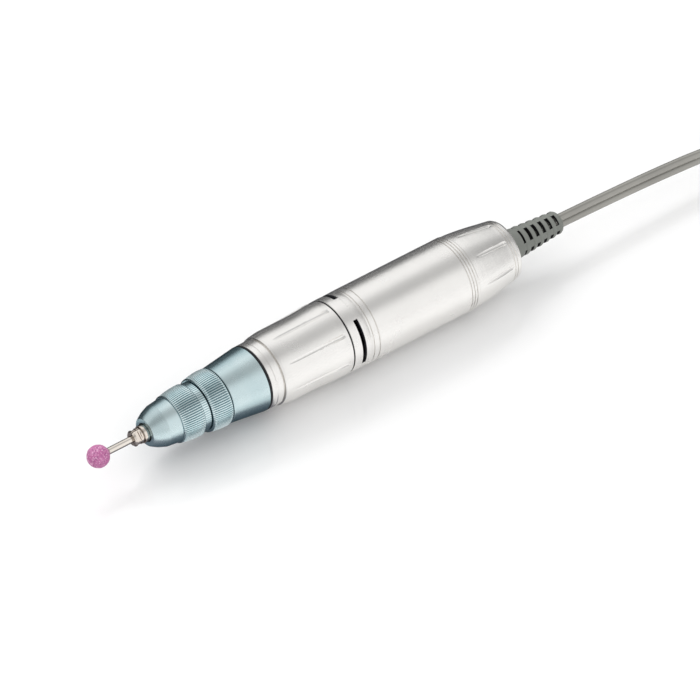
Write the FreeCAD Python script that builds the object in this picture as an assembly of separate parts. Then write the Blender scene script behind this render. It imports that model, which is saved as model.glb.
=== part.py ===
"""Laboratory micromotor handpiece with a grinding stone, its cord and its plug.

Lengths are in millimetres. The handpiece lies on its barrel: the spindle axis runs along X at the
height of the barrel's radius, the stone points to -X and the cord leaves towards +X. The origin is
under the middle of the handpiece. A station is a distance along the axis from the stone's centre,
and an angle round the axis is counted from the top towards -Y.
"""
import FreeCAD
import Part
import math
import os

# ---- stone, shank and chuck nose ----
STONE_R = 3.9
SHANK_R = 1.175
SHANK_REACH = 13.4          # stone centre to the chuck's face
SHANK_IN_STONE = 1.5
SHANK_GRIPPED = 25.8        # length held in the collet
CHUCK_PROJECTION = 5.4      # chuck face to the nose cone's face
CHUCK_NOSE_R = 2.8
CHUCK_NOSE_LENGTH = 3.0
CHUCK_FLAT = 2.5            # axis to wrench flat

# ---- outer shells, front to rear ----
NOSE_LENGTH = 10.0
NOSE_TIP_R = 4.95
NOSE_FACET_R = 7.35
NOSE_REAR_R = 7.9
FRONT_KNURL_LENGTH = 8.3
FRONT_KNURL_R = (8.35, 8.85, 9.15, 9.2)
FRONT_KNURL_TEETH = 72
SKIRT_LENGTH = 2.6
SKIRT_R = 8.75
RING_GAP = 0.25
RELEASE_LENGTH = 7.75
RELEASE_R = (9.5, 9.95, 10.2, 10.1)
RELEASE_TEETH = 80
KNURL_DEPTH = 0.26
SLEEVE_LENGTH = 14.1
SLEEVE_FRONT_R = 10.0
SLEEVE_REAR_R = 11.6
GASKET_WIDTH = 0.5
GRIP_LENGTH = 32.45
SEAM_WIDTH = 0.5
VENT_RING_LENGTH = 7.0
BARREL_R = 13.3
BARREL_LENGTH = 45.4
BARREL_WALL = 1.3
CAP_LENGTH = 20.4
RELIEF_LENGTH = 23.0

# ---- flutes and vents ----
FLUTES = 8
GRIP_FLUTE_ANGLE = 4.5
CAP_FLUTE_ANGLE = -10.0
FLUTE_CUTTER_R = 0.8
VENT_SLOTS = 3
VENT_ANGLE = 73.0
VENT_SPAN = 74.0
VENT_WIDTH = 1.6

# ---- housing, spindle and chuck ----
HOUSING_NOSE_R = 5.8
HOUSING_RING_R = 7.0
HOUSING_SLEEVE_R = 8.5
HOUSING_GRIP_R = 10.3
SPINDLE_R = 3.0
SPINDLE_BORE_R = 2.3
SPINDLE_STEP = 0.1           # front ring of the spindle above the rest
NOSE_GAP = 0.3               # radial, between that ring and the nose cone's bore
SLIDER_R = 4.85
SLIDER_WALL = 0.5
PIN_R = 0.9
PIN_TIP_R = 8.5
RELEASE_TURN = 60.0         # turn of the release ring from shut to open
CHUCK_TRAVEL = 0.8          # travel of the collet over that turn

# ---- bearings: width and outer radius ----
FRONT_BEARING = (3.0, 5.0)
REAR_BEARING = (4.0, 6.5)
MOTOR_FRONT_BEARING = (3.0, 4.5)
MOTOR_REAR_BEARING = (2.8, 4.0)

# ---- motor ----
SHAFT_R = 1.5
CAN_WALL = 1.25
MAGNET_THICK = 1.9
AIR_GAP = 0.4
ARMATURE_SLOTS = 7
COMMUTATOR_R = 3.6
BRUSH_WIDTH = 3.0
BRUSH_DEPTH = 4.0

# ---- cord and plug ----
CORD_R = 2.75
RELIEF_SLOTS = 6
RELIEF_SLOT_PITCH = 2.94
RELIEF_SLOT_SPAN = 58.0
RELIEF_SLOT_ANGLE = 32.0
RELIEF_BORE_R = 2.9
HANK_LENGTH = 105.0
HANK_WIDTH = 38.6
HANK_HEIGHT = 17.0
HANK_OFFSET = 117.0         # end of the strain relief to the hank
WAIST_WIDTH = 23.0          # hank inside the tie
WAIST_HEIGHT = 8.8
RAMP_START = 6.0            # where the hank's top starts to sink, past the middle of its round end
TIE_WIDTH = 10.0
TIE_THICK = 0.9
TIE_GAP = 0.1
PLUG_R = 7.8
PLUG_SIDE = 11.6            # plug's axis to the handpiece's, towards -Y
TAIL_REACH = 32.0           # end of the hank to the plug's boot
PLUG_PINS = 5

# ---- fits ----
FIT = 0.02                  # radial, between pieces that are fixed together
RUN = 0.05                  # radial, between pieces that turn or slide
RACE_RUN = 0.03             # between balls and their outer race

# ---- stations of the shells ----
chuck_face = SHANK_REACH
nose_face = chuck_face + CHUCK_PROJECTION
ring_face = nose_face + NOSE_LENGTH
skirt_face = ring_face + FRONT_KNURL_LENGTH
release_face = skirt_face + SKIRT_LENGTH + RING_GAP
sleeve_face = release_face + RELEASE_LENGTH + RING_GAP
gasket_face = sleeve_face + SLEEVE_LENGTH
grip_face = gasket_face + GASKET_WIDTH
seam_face = grip_face + GRIP_LENGTH
vent_face = seam_face + SEAM_WIDTH
barrel_face = vent_face + VENT_RING_LENGTH
cap_face = barrel_face + BARREL_LENGTH
cap_rear = cap_face + CAP_LENGTH
relief_end = cap_rear + RELIEF_LENGTH
hank_front = relief_end + HANK_OFFSET
hank_end = hank_front + HANK_LENGTH
hank_middle = (hank_front + hank_end) / 2
table = -BARREL_R            # height of the table below the axis

# ---- stations of the inner pieces ----
front_bearing = nose_face + 5.6
pin_station = release_face + 5.05
rear_bearing = grip_face + 13.05
collar_front = rear_bearing - 5.8
collar_rear = rear_bearing - 3.4
spindle_rear = rear_bearing + 6.4
motor_dog_front = spindle_rear + 3.2
motor_dog_face = motor_dog_front + 3.0
fan_face = vent_face + 2.3
vent_station = vent_face + 3.9
front_plate = barrel_face - 0.7
can_front = barrel_face + 4.5
card_face = cap_face - 11.9
can_rear = card_face - 0.5
rear_plate = cap_face - 4.5
bore_step = cap_face - 4.7
shaft_end = cap_face + 0.6
board_face = cap_face + 1.3
bore_r = BARREL_R - BARREL_WALL
spigot_r = bore_r + 0.4
magnet_outer = bore_r - CAN_WALL - 2 * FIT
magnet_inner = magnet_outer - MAGNET_THICK
armature_r = magnet_inner - AIR_GAP

ORIGIN_STATION = (relief_end - STONE_R) / 2
SPINDLE_RING_R = SPINDLE_R + SPINDLE_STEP
NOSE_BORE_R = SPINDLE_RING_R + NOSE_GAP
X_AXIS = FreeCAD.Vector(1, 0, 0)
CENTRE = FreeCAD.Vector(0, 0, 0)


# ---- building blocks ----
def at(station, radius):
    """Point of a turned outline."""
    return FreeCAD.Vector(station, 0, radius)


def ray(degrees):
    """Direction that points out from the axis at an angle from the top."""
    return FreeCAD.Vector(0, -math.sin(math.radians(degrees)), math.cos(math.radians(degrees)))


def turned(outline):
    """Solid turned from (station, radius) points; four numbers are an arc's middle and its end."""
    edges = []
    here = outline[0]
    for entry in outline[1:] + outline[:1]:
        end = entry[-2:]
        if len(entry) == 4:
            edges.append(Part.Arc(at(*here), at(*entry[:2]), at(*end)).toShape())
        else:
            edges.append(Part.LineSegment(at(*here), at(*end)).toShape())
        here = end
    return Part.Face(Part.Wire(edges)).revolve(CENTRE, X_AXIS, 360)


def tube(front, rear, outer, inner=0.0):
    """Straight tube or, with no inner radius, a rod."""
    body = Part.makeCylinder(outer, rear - front, at(front, 0), X_AXIS)
    if inner > 0:
        body = body.cut(Part.makeCylinder(inner, rear - front, at(front, 0), X_AXIS))
    return body


def sector(front, rear, inner, outer, middle, span):
    """Block between two radii that covers part of the circle."""
    low = ray(middle - span / 2)
    mid = ray(middle)
    high = ray(middle + span / 2)
    wire = Part.Wire([
        Part.Arc(low * outer, mid * outer, high * outer).toShape(),
        Part.LineSegment(high * outer, high * inner).toShape(),
        Part.Arc(high * inner, mid * inner, low * inner).toShape(),
        Part.LineSegment(low * inner, low * outer).toShape(),
    ])
    piece = Part.Face(wire).extrude(X_AXIS * (rear - front))
    piece.translate(at(front, 0))
    return piece


def block(front, rear, y_half, low, high):
    """Box across the axis, from one height to another."""
    return Part.makeBox(rear - front, 2 * y_half, high - low, FreeCAD.Vector(front, -y_half, low))


def turned_by(shape, degrees):
    """Copy of a shape turned round the axis, from the top towards -Y."""
    copy = shape.copy()
    copy.rotate(CENTRE, X_AXIS, degrees)
    return copy


def radial_rod(radius, station, inner, outer, degrees):
    """Rod that stands out from the axis."""
    way = ray(degrees)
    return Part.makeCylinder(radius, outer - inner, at(station, 0) + way * inner, way)


def flute(front, front_floor, rear, rear_floor, degrees):
    """Ball-nosed cutter that runs along the shell, from one floor radius to another."""
    start = at(front, front_floor + FLUTE_CUTTER_R)
    end = at(rear - FLUTE_CUTTER_R, rear_floor + FLUTE_CUTTER_R)
    run = end - start
    cutter = Part.makeCylinder(FLUTE_CUTTER_R, run.Length, start, run)
    cutter = cutter.fuse(Part.makeSphere(FLUTE_CUTTER_R, end))
    return turned_by(cutter, degrees)


def knurled(front, rear, radii, teeth):
    """Crowned solid with straight teeth; its ends are chamfered."""
    chamfer = 0.35
    inner_stations = [front + chamfer + (rear - front - 2 * chamfer) * k / 3 for k in range(4)]
    stations = [front] + inner_stations + [rear]
    crowns = [radii[0] - chamfer] + list(radii) + [radii[-1] - chamfer]
    wires = []
    for station, crown in zip(stations, crowns):
        points = []
        for k in range(2 * teeth):
            radius = crown - (KNURL_DEPTH if k % 2 else 0.0)
            points.append(at(station, 0) + ray(180.0 * k / teeth) * radius)
        wires.append(Part.makePolygon(points + points[:1]))
    return Part.makeLoft(wires, True, True)


def ball_bearing(front, size, bore, ball_r):
    """Outer race, inner race and balls of a deep-groove bearing."""
    width, outer = size
    middle = at(front + width / 2, 0)
    pitch_r = (bore + outer) / 2
    groove = Part.makeTorus(pitch_r, ball_r + RACE_RUN, middle, X_AXIS)
    land = 0.55 * ball_r
    outer_race = tube(front, front + width, outer, pitch_r + land).cut(groove)
    inner_race = tube(front, front + width, pitch_r - land, bore).cut(groove)
    count = int(2 * math.pi * pitch_r / (2.5 * ball_r))
    balls = [Part.makeSphere(ball_r, middle + ray(360.0 * k / count) * pitch_r) for k in range(count)]
    return outer_race, inner_race, balls


# ---- tool ----
def stone_head():
    hole = tube(-SHANK_IN_STONE, STONE_R + 1, SHANK_R)
    return Part.makeSphere(STONE_R).cut(hole)


def stone_shank():
    end = chuck_face + SHANK_GRIPPED
    return turned([(-SHANK_IN_STONE, 0), (-SHANK_IN_STONE, SHANK_R), (end - 0.3, SHANK_R),
                   (end, SHANK_R - 0.3), (end, 0)])


# ---- chuck ----
def collet():
    """Spring collet: slotted nose with wrench flats, a cone and a straight body."""
    nose_rear = chuck_face + CHUCK_NOSE_LENGTH
    body_r = SPINDLE_BORE_R - 0.03
    rear = chuck_face + SHANK_GRIPPED + 4.0
    body = turned([
        (chuck_face, SHANK_R + FIT), (chuck_face, CHUCK_NOSE_R - 0.5),
        (chuck_face + 0.5, CHUCK_NOSE_R), (nose_rear, CHUCK_NOSE_R), (nose_rear, 2.4),
        (nose_rear + 0.5, 2.4), (nose_rear + 0.5, 2.68), (nose_rear + 2.8, body_r),
        (rear - 4.0, body_r), (rear - 4.0, 1.6), (rear, 1.6), (rear, 0),
        (rear - 3.0, 0), (rear - 3.0, SHANK_R + FIT),
    ])
    for degrees in range(0, 360, 90):
        flat = block(chuck_face + 0.7, nose_rear - 0.4, 4, CHUCK_FLAT, 5)
        cross_slot = block(chuck_face + 1.6, chuck_face + 2.1, 4, CHUCK_FLAT - 0.35, 5)
        body = body.cut(turned_by(flat.fuse(cross_slot), 45 + degrees))
    for degrees in range(0, 360, 120):
        saw_cut = block(chuck_face - 1, chuck_face + 18, 0.15, SHANK_R - 0.5, 5)
        body = body.cut(turned_by(saw_cut, degrees))
    return body


def draw_bar():
    front = chuck_face + SHANK_GRIPPED + FIT
    socket_rear = front + 4.0
    socket_r = SPINDLE_BORE_R - 0.03
    head_front = collar_front + 0.2
    head_rear = collar_rear - 0.2
    bar = turned([
        (front, 1.6 + FIT), (front, socket_r), (front + 8, socket_r), (front + 8, 1.2),
        (head_front, 1.2), (head_front, 2.2), (head_rear, 2.2), (head_rear, 0),
        (socket_rear, 0), (socket_rear, 1.6 + FIT),
    ])
    middle = (collar_front + collar_rear) / 2
    return bar.cut(radial_rod(0.5 + FIT, middle, -5, 5, 0))


def thrust_collar():
    middle = (collar_front + collar_rear) / 2
    collar = tube(collar_front, collar_rear, SLIDER_R - SLIDER_WALL - 0.15, SPINDLE_R + RUN)
    return collar.cut(radial_rod(0.5 + FIT, middle, -6, 6, 0))


def cross_pin():
    reach = SLIDER_R - SLIDER_WALL - 0.2
    return radial_rod(0.5, (collar_front + collar_rear) / 2, -reach, reach, 0)


def shoulder_station():
    """Rear face of the shoulder inside the spindle, where the collet spring rests."""
    return chuck_face + SHANK_GRIPPED + 13.0


def collet_spring():
    return tube(shoulder_station() + 0.1, collar_front + 0.15, SPINDLE_BORE_R - 0.1, 1.35)


# ---- spindle ----
def spindle():
    mouth = chuck_face + CHUCK_NOSE_LENGTH + 0.6
    ring_rear = nose_face + 2.1
    shoulder = shoulder_station()
    body = turned([
        (mouth, 2.72), (mouth, SPINDLE_RING_R - 0.1), (mouth + 0.2, SPINDLE_RING_R),
        (ring_rear, SPINDLE_RING_R), (ring_rear, SPINDLE_R), (spindle_rear, SPINDLE_R),
        (spindle_rear, SPINDLE_BORE_R), (shoulder, SPINDLE_BORE_R), (shoulder, 1.3),
        (shoulder - 2, 1.3), (shoulder - 2, SPINDLE_BORE_R), (mouth + 2.2, SPINDLE_BORE_R),
    ])
    middle = (collar_front + collar_rear) / 2
    slot = block(middle - CHUCK_TRAVEL - 0.7, middle + 0.7, 0.55, -5, 5)
    return body.cut(slot)


def spindle_nut():
    front = rear_bearing + 4.0 + FIT
    return tube(front, front + 1.8, 4.6, SPINDLE_R + FIT)


def dog(disc_front, disc_rear, claw_front, claw_rear, first_claw):
    """Half of the drive coupling: a disc with two claws."""
    half = tube(disc_front, disc_rear, 4.0)
    for k in range(2):
        half = half.fuse(sector(claw_front, claw_rear, 1.8, 4.0, first_claw + 180 * k, 80))
    return half


def spindle_dog():
    disc_rear = spindle_rear + 3.0
    half = dog(spindle_rear + FIT, disc_rear, disc_rear - 0.2, disc_rear + 3.0, 0)
    return half.fuse(tube(spindle_rear - 4, spindle_rear + 0.5, SPINDLE_BORE_R - FIT))


# ---- chuck release ----
def release_slider():
    """Sleeve inside the housing: its lip pulls the thrust collar forward."""
    front = pin_station - 3.0
    lip_rear = collar_rear + 1.8
    inner = SLIDER_R - SLIDER_WALL
    sleeve = turned([
        (front, inner), (front, SLIDER_R), (lip_rear, SLIDER_R), (lip_rear, SPINDLE_R + 0.3),
        (collar_rear + 0.3, SPINDLE_R + 0.3), (collar_rear + 0.3, inner),
    ])
    for degrees in (90, 270):
        sleeve = sleeve.cut(radial_rod(PIN_R + FIT, pin_station, 3, 6, degrees))
    return sleeve


def release_pins():
    inner = SLIDER_R - SLIDER_WALL + 0.05
    return [radial_rod(PIN_R, pin_station, inner, PIN_TIP_R, degrees) for degrees in (90, 270)]


def release_ring():
    """Knurled ring with two helical grooves inside, which drive the pins."""
    rear = release_face + RELEASE_LENGTH
    ring = knurled(release_face, rear, RELEASE_R, RELEASE_TEETH)
    ring = ring.cut(tube(release_face - 1, rear + 1, HOUSING_RING_R + RUN))
    steps = 15
    for k in range(-1, steps + 2):
        share = k / steps
        station = pin_station - CHUCK_TRAVEL * share
        for degrees in (90, 270):
            cutter = radial_rod(PIN_R + RUN, station, HOUSING_RING_R - 1, PIN_TIP_R + 0.2,
                                degrees - RELEASE_TURN * share)
            ring = ring.cut(cutter)
    return ring


# ---- front shells ----
def nose_cone():
    facet = nose_face + 5.2
    seat = nose_face + 5.0
    return turned([
        (nose_face, NOSE_BORE_R), (nose_face, NOSE_TIP_R - 0.3),
        (nose_face + 0.1, NOSE_TIP_R - 0.08, nose_face + 0.3, NOSE_TIP_R + 0.15),
        (nose_face + 2.6, 6.45, facet, NOSE_FACET_R), (ring_face - 0.15, NOSE_REAR_R),
        (ring_face, NOSE_REAR_R - 0.15), (ring_face, HOUSING_NOSE_R + FIT),
        (seat, HOUSING_NOSE_R + FIT), (seat, 4.6), (nose_face + 2.4, 4.6),
        (nose_face + 2.4, NOSE_BORE_R),
    ])


def nose_seal():
    return tube(nose_face + 2.5, nose_face + 4.9, 4.6 - FIT, SPINDLE_R + 0.2)


def head_housing():
    """Inner tube that carries the bearings and all front shells."""
    front = nose_face + 5.2
    rear = seam_face - 1.4
    flange = gasket_face + 0.05
    front_race_r = FRONT_BEARING[1] + FIT
    rear_race_r = REAR_BEARING[1] + FIT
    seat_rear = front_bearing + FRONT_BEARING[0] + 0.1
    body = turned([
        (front, front_race_r), (front, HOUSING_NOSE_R), (ring_face + FIT, HOUSING_NOSE_R),
        (ring_face + FIT, HOUSING_RING_R), (sleeve_face - 0.1, HOUSING_RING_R),
        (sleeve_face - 0.1, HOUSING_SLEEVE_R), (flange, HOUSING_SLEEVE_R),
        (flange, HOUSING_GRIP_R), (rear, HOUSING_GRIP_R), (rear, 7.5),
        (rear_bearing + 6.8, 7.5), (rear_bearing + 6.8, rear_race_r),
        (rear_bearing - 0.1, rear_race_r), (rear_bearing - 0.1, SLIDER_R + RUN),
        (seat_rear + 2.5, SLIDER_R + RUN), (seat_rear + 2.5, 4.2),
        (seat_rear, 4.2), (seat_rear, front_race_r),
    ])
    half = PIN_R + RUN
    for degrees in (90, 270):
        for station in (pin_station, pin_station - CHUCK_TRAVEL):
            body = body.cut(radial_rod(half, station, 4, HOUSING_RING_R + 1, degrees))
        slot = block(pin_station - CHUCK_TRAVEL, pin_station, half, 4, HOUSING_RING_R + 1)
        body = body.cut(turned_by(slot, degrees))
    return body


def front_knurl_ring():
    ring = knurled(ring_face, skirt_face, FRONT_KNURL_R, FRONT_KNURL_TEETH)
    ring = ring.fuse(tube(skirt_face - 1, skirt_face + SKIRT_LENGTH, SKIRT_R))
    return ring.cut(tube(ring_face - 1, release_face, HOUSING_RING_R + FIT))


def taper_sleeve():
    return turned([
        (sleeve_face, HOUSING_SLEEVE_R + FIT), (sleeve_face, SLEEVE_FRONT_R - 0.15),
        (sleeve_face + 0.15, SLEEVE_FRONT_R), (gasket_face - 0.3, SLEEVE_REAR_R),
        (gasket_face, SLEEVE_REAR_R - 0.3), (gasket_face, HOUSING_SLEEVE_R + FIT),
    ])


def sleeve_gasket():
    return tube(gasket_face + 0.05, grip_face, SLEEVE_REAR_R - 0.2, HOUSING_GRIP_R + FIT)


def front_grip():
    """Satin grip: a lead-in band, a groove, a waist and a bulge, with milled flutes."""
    counterbore = seam_face - 4.0
    line = grip_face + 2.05
    groove = grip_face + 4.5
    body = turned([
        (grip_face, HOUSING_GRIP_R + FIT), (grip_face, BARREL_R - 1.95),
        (grip_face + 0.2, BARREL_R - 1.75), (line - 0.15, BARREL_R - 1.7),
        (line, BARREL_R - 1.85), (line + 0.15, BARREL_R - 1.7), (groove, BARREL_R - 1.65),
        (groove, BARREL_R - 2.2), (groove + 0.4, BARREL_R - 2.2),
        (groove + 0.6, BARREL_R - 1.25), (groove + 3.4, BARREL_R - 0.78, groove + 7.0, BARREL_R - 0.6),
        (groove + 13.5, BARREL_R - 0.56), (groove + 18.0, BARREL_R - 0.4),
        (groove + 21.0, BARREL_R - 0.22), (seam_face - 3.6, BARREL_R - 0.05),
        (seam_face - 2.4, BARREL_R - 0.02), (seam_face - 0.15, BARREL_R - 0.1),
        (seam_face, BARREL_R - 0.25),
        (seam_face, bore_r + FIT), (counterbore, bore_r + FIT),
        (counterbore, HOUSING_GRIP_R + FIT),
    ])
    for k in range(FLUTES):
        body = body.cut(flute(grip_face + 9.0, BARREL_R - 0.75, seam_face - 1.6, BARREL_R - 0.5,
                              GRIP_FLUTE_ANGLE + 360 / FLUTES * k))
    return body


def seam_ring():
    return tube(seam_face + 0.02, vent_face - 0.02, BARREL_R - 0.4, bore_r + FIT)


def vent_ring():
    """Ring with three air slots and a spigot that screws into the grip."""
    spigot_rear = vent_face + 2.0
    outer = BARREL_R - 0.05
    body = turned([
        (vent_face - 4.3, bore_r - 1.0), (vent_face - 4.3, bore_r), (vent_face, bore_r),
        (vent_face, outer - 0.15), (vent_face + 0.15, outer), (barrel_face - 0.2, outer),
        (barrel_face, outer - 0.25), (barrel_face, bore_r + FIT), (spigot_rear, bore_r + FIT),
        (spigot_rear, bore_r - 1.0),
    ])
    for k in range(VENT_SLOTS):
        body = body.cut(sector(vent_station - VENT_WIDTH / 2, vent_station + VENT_WIDTH / 2,
                               bore_r - 2, BARREL_R + 1, VENT_ANGLE + 360 / VENT_SLOTS * k, VENT_SPAN))
    return body


# ---- motor ----
def motor_barrel():
    notch = 0.25
    outline = [(barrel_face, bore_r), (barrel_face, BARREL_R - 0.25), (barrel_face + 0.2, BARREL_R)]
    for station in (barrel_face + 3.2, cap_face - 3.3, cap_face - 1.4):
        outline += [(station - notch, BARREL_R), (station, BARREL_R - notch), (station + notch, BARREL_R)]
    outline += [(cap_face - 0.2, BARREL_R), (cap_face, BARREL_R - 0.2), (cap_face, spigot_r),
                (bore_step, spigot_r), (bore_step, bore_r)]
    return turned(outline)


def motor_can():
    return tube(can_front, can_rear, bore_r - FIT, bore_r - CAN_WALL)


def magnets():
    return [sector(can_front + 2, can_rear - 2, magnet_inner, magnet_outer, middle, 130)
            for middle in (90, 270)]


def armature_core():
    core = tube(can_front + 4, can_rear - 4, armature_r, SHAFT_R + FIT)
    for k in range(ARMATURE_SLOTS):
        slot = block(can_front, can_rear, 1.1, 3.5, armature_r + 1)
        core = core.cut(turned_by(slot, 360 / ARMATURE_SLOTS * k))
    return core


def windings():
    """Copper coils: bars in the slots, joined by a wound ring at each end."""
    front = can_front + 4
    rear = can_rear - 4
    coils = tube(front - 2.8, front - FIT, armature_r - 0.6, 2.2)
    coils = coils.fuse(tube(rear + FIT, rear + 2.9, armature_r - 0.6, 2.2))
    for k in range(ARMATURE_SLOTS):
        bar = block(front - 1, rear + 1, 0.95, 3.7, armature_r - 0.7)
        coils = coils.fuse(turned_by(bar, 360 / ARMATURE_SLOTS * k))
    return coils


def commutator():
    body = tube(card_face + 0.2, card_face + 6, COMMUTATOR_R, SHAFT_R + FIT)
    for k in range(ARMATURE_SLOTS):
        cut = block(card_face, card_face + 7, 0.2, COMMUTATOR_R - 0.4, COMMUTATOR_R + 1)
        body = body.cut(turned_by(cut, 360 / ARMATURE_SLOTS * k))
    return body


def motor_shaft():
    return tube(motor_dog_face + 0.5, shaft_end, SHAFT_R)


def motor_dog():
    half = dog(motor_dog_face, motor_dog_face + 3, motor_dog_front, motor_dog_face + 0.2, 90)
    half = half.fuse(tube(motor_dog_face + 3, motor_dog_face + 5.8, 2.6))
    return half.cut(tube(motor_dog_front - 1, motor_dog_face + 7, SHAFT_R + FIT))


def cooling_fan():
    radius = bore_r - 2.2
    fan = tube(fan_face, fan_face + 3.2, 2.6).fuse(tube(fan_face + 2.8, fan_face + 3.2, radius))
    for k in range(9):
        fan = fan.fuse(turned_by(block(fan_face, fan_face + 3, 0.3, 2.2, radius - 0.1), 40 * k))
    return fan.cut(tube(fan_face - 1, fan_face + 5, SHAFT_R + FIT))


def motor_front_plate():
    rear = front_plate + 4.7
    wall = front_plate + 1.1
    race_r = MOTOR_FRONT_BEARING[1] + FIT
    return turned([(front_plate, 1.9), (front_plate, bore_r - RUN), (rear, bore_r - RUN),
                   (rear, race_r), (wall, race_r), (wall, 1.9)])


def brush_card():
    card = tube(card_face, card_face + 7, bore_r - RUN, 4.0)
    middle = card_face + 3
    half = BRUSH_DEPTH / 2 + RUN
    card = card.cut(block(middle - half, middle + half, BRUSH_WIDTH / 2 + RUN, -20, 20))
    for degrees in (90, 270):
        card = card.cut(turned_by(screw_at(0.8), degrees))
    return card


def brush(degrees):
    middle = card_face + 3
    half = BRUSH_DEPTH / 2
    carbon = block(middle - half, middle + half, BRUSH_WIDTH / 2, 3, COMMUTATOR_R + 4)
    carbon = carbon.cut(tube(card_face - 1, card_face + 8, COMMUTATOR_R + RUN))
    return turned_by(carbon, degrees)


def brush_spring(degrees):
    front = COMMUTATOR_R + 4 + FIT
    return radial_rod(1.35, card_face + 3, front, bore_r - 0.75, degrees).cut(
        radial_rod(0.95, card_face + 3, front, bore_r - 0.75, degrees))


def screw_at(radius):
    """Rod at the plate screws' place, long enough for a screw or its hole."""
    rod = tube(card_face + 3.5, rear_plate + 3.6, radius)
    rod.translate(FreeCAD.Vector(0, 0, 8.5))
    return rod


def motor_rear_plate():
    """Bearing plate with two posts that carry the terminal board."""
    rear = rear_plate + 3.6
    wall = rear_plate + 3.2
    race_r = MOTOR_REAR_BEARING[1] + FIT
    plate = turned([(rear_plate, race_r), (rear_plate, spigot_r - 1.3), (rear, spigot_r - 1.3),
                    (rear, 1.9), (wall, 1.9), (wall, race_r)])
    for degrees in (90, 270):
        plate = plate.cut(turned_by(screw_at(0.85), degrees))
    for height in (7, -7):
        post = tube(rear - 0.5, board_face, 1.4)
        post.translate(FreeCAD.Vector(0, 0, height))
        plate = plate.fuse(post)
    return plate


def plate_screws():
    head = tube(rear_plate + 3.6, rear_plate + 4.6, 1.5)
    head = head.cut(block(rear_plate + 4.2, rear_plate + 5, 2, -0.2, 0.2))
    head.translate(FreeCAD.Vector(0, 0, 8.5))
    screw = screw_at(0.78).fuse(head)
    return [turned_by(screw, degrees) for degrees in (90, 270)]


def terminal_board():
    return tube(board_face + FIT, board_face + 1.4, 9.0, 1.8)


def lead_wires():
    wires = []
    for height in (CORD_R / 2, -CORD_R / 2):
        wire = tube(board_face + 1.4 + FIT, cord_start() - 0.1, 0.6)
        wire.translate(FreeCAD.Vector(0, 0, height + 0.6 * math.copysign(1, height)))
        wires.append(wire)
    return wires


# ---- rear shells ----
def rear_cap():
    """Screwed cap: tapering outside with flutes, two fine lines and a rounded rim."""
    rim = cap_rear - 3.8
    wall_front = cap_rear - 2.7
    inner_r = spigot_r - 1.25
    body = turned([
        (cap_face - 4.6, inner_r), (cap_face - 4.6, spigot_r - FIT), (cap_face + 0.05, spigot_r - FIT),
        (cap_face + 0.05, BARREL_R - 0.4), (cap_face + 0.25, BARREL_R - 0.2),
        (cap_face + 6.1, BARREL_R - 0.76, rim, BARREL_R - 2.15),
        (rim + 0.2, BARREL_R - 2.4), (rim + 0.4, BARREL_R - 2.2), (rim + 1.2, BARREL_R - 2.35),
        (rim + 1.4, BARREL_R - 2.6), (rim + 1.6, BARREL_R - 2.4),
        (cap_rear - 0.65, BARREL_R - 3.1, cap_rear, BARREL_R - 4.6),
        (cap_rear, 6.02), (wall_front, 6.02), (wall_front, inner_r - 1.9),
        (wall_front - 2.6, inner_r - 1.9), (cap_face + 2.1, inner_r),
    ])
    for k in range(FLUTES):
        body = body.cut(flute(cap_face + 3.0, BARREL_R - 0.32, rim - 0.6, BARREL_R - 2.45,
                              CAP_FLUTE_ANGLE + 360 / FLUTES * k))
    return body


def strain_relief():
    """Moulded relief: a flange held in the cap, a flared root and a slotted taper."""
    flange = cap_rear - 4.9
    body = turned([
        (flange, RELIEF_BORE_R), (flange, 7.6), (flange + 2.15, 7.6), (flange + 2.15, 6.0),
        (cap_rear + 0.03, 6.0), (cap_rear + 0.03, 6.9), (cap_rear + 0.6, 6.8),
        (cap_rear + 1.9, 5.75, cap_rear + 4.0, 5.4), (relief_end - 1.2, 4.0),
        (relief_end - 0.3, 3.7, relief_end, 3.2), (relief_end, RELIEF_BORE_R),
    ])
    for k in range(RELIEF_SLOTS):
        half = 0.4 if k == 0 else 0.65
        station = cap_rear + 5.8 + RELIEF_SLOT_PITCH * k
        for quarter in range(4):
            body = body.cut(sector(station - half, station + half, RELIEF_BORE_R - 0.5, 8,
                                   RELIEF_SLOT_ANGLE + 90 * quarter, RELIEF_SLOT_SPAN))
    return body


# ---- cord ----
def cord_start():
    return relief_end - 18.0


def lead_route():
    """Points of the lead: out of the relief, down to the table and to the hank's side."""
    steps = [(-18.0, 0.0, 0.0), (4.0, 0.0, 0.0), (48.0, -0.2, table + 10.5),
             (78.0, -2.6, table + 7.9), (103.0, -10.5, table + 3.8), (128.0, -16.4, table + 2.8)]
    return [FreeCAD.Vector(relief_end + x, y, z) for x, y, z in steps]


def tail_route():
    """Points of the tail: from the hank's far side to the plug's boot."""
    steps = [(-11.0, -16.4, 15.0), (3.0, -16.4, 14.0), (18.0, -13.8, 9.6), (TAIL_REACH, -PLUG_SIDE, PLUG_R)]
    return [FreeCAD.Vector(hank_end + x, y, table + z) for x, y, z in steps]


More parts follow.
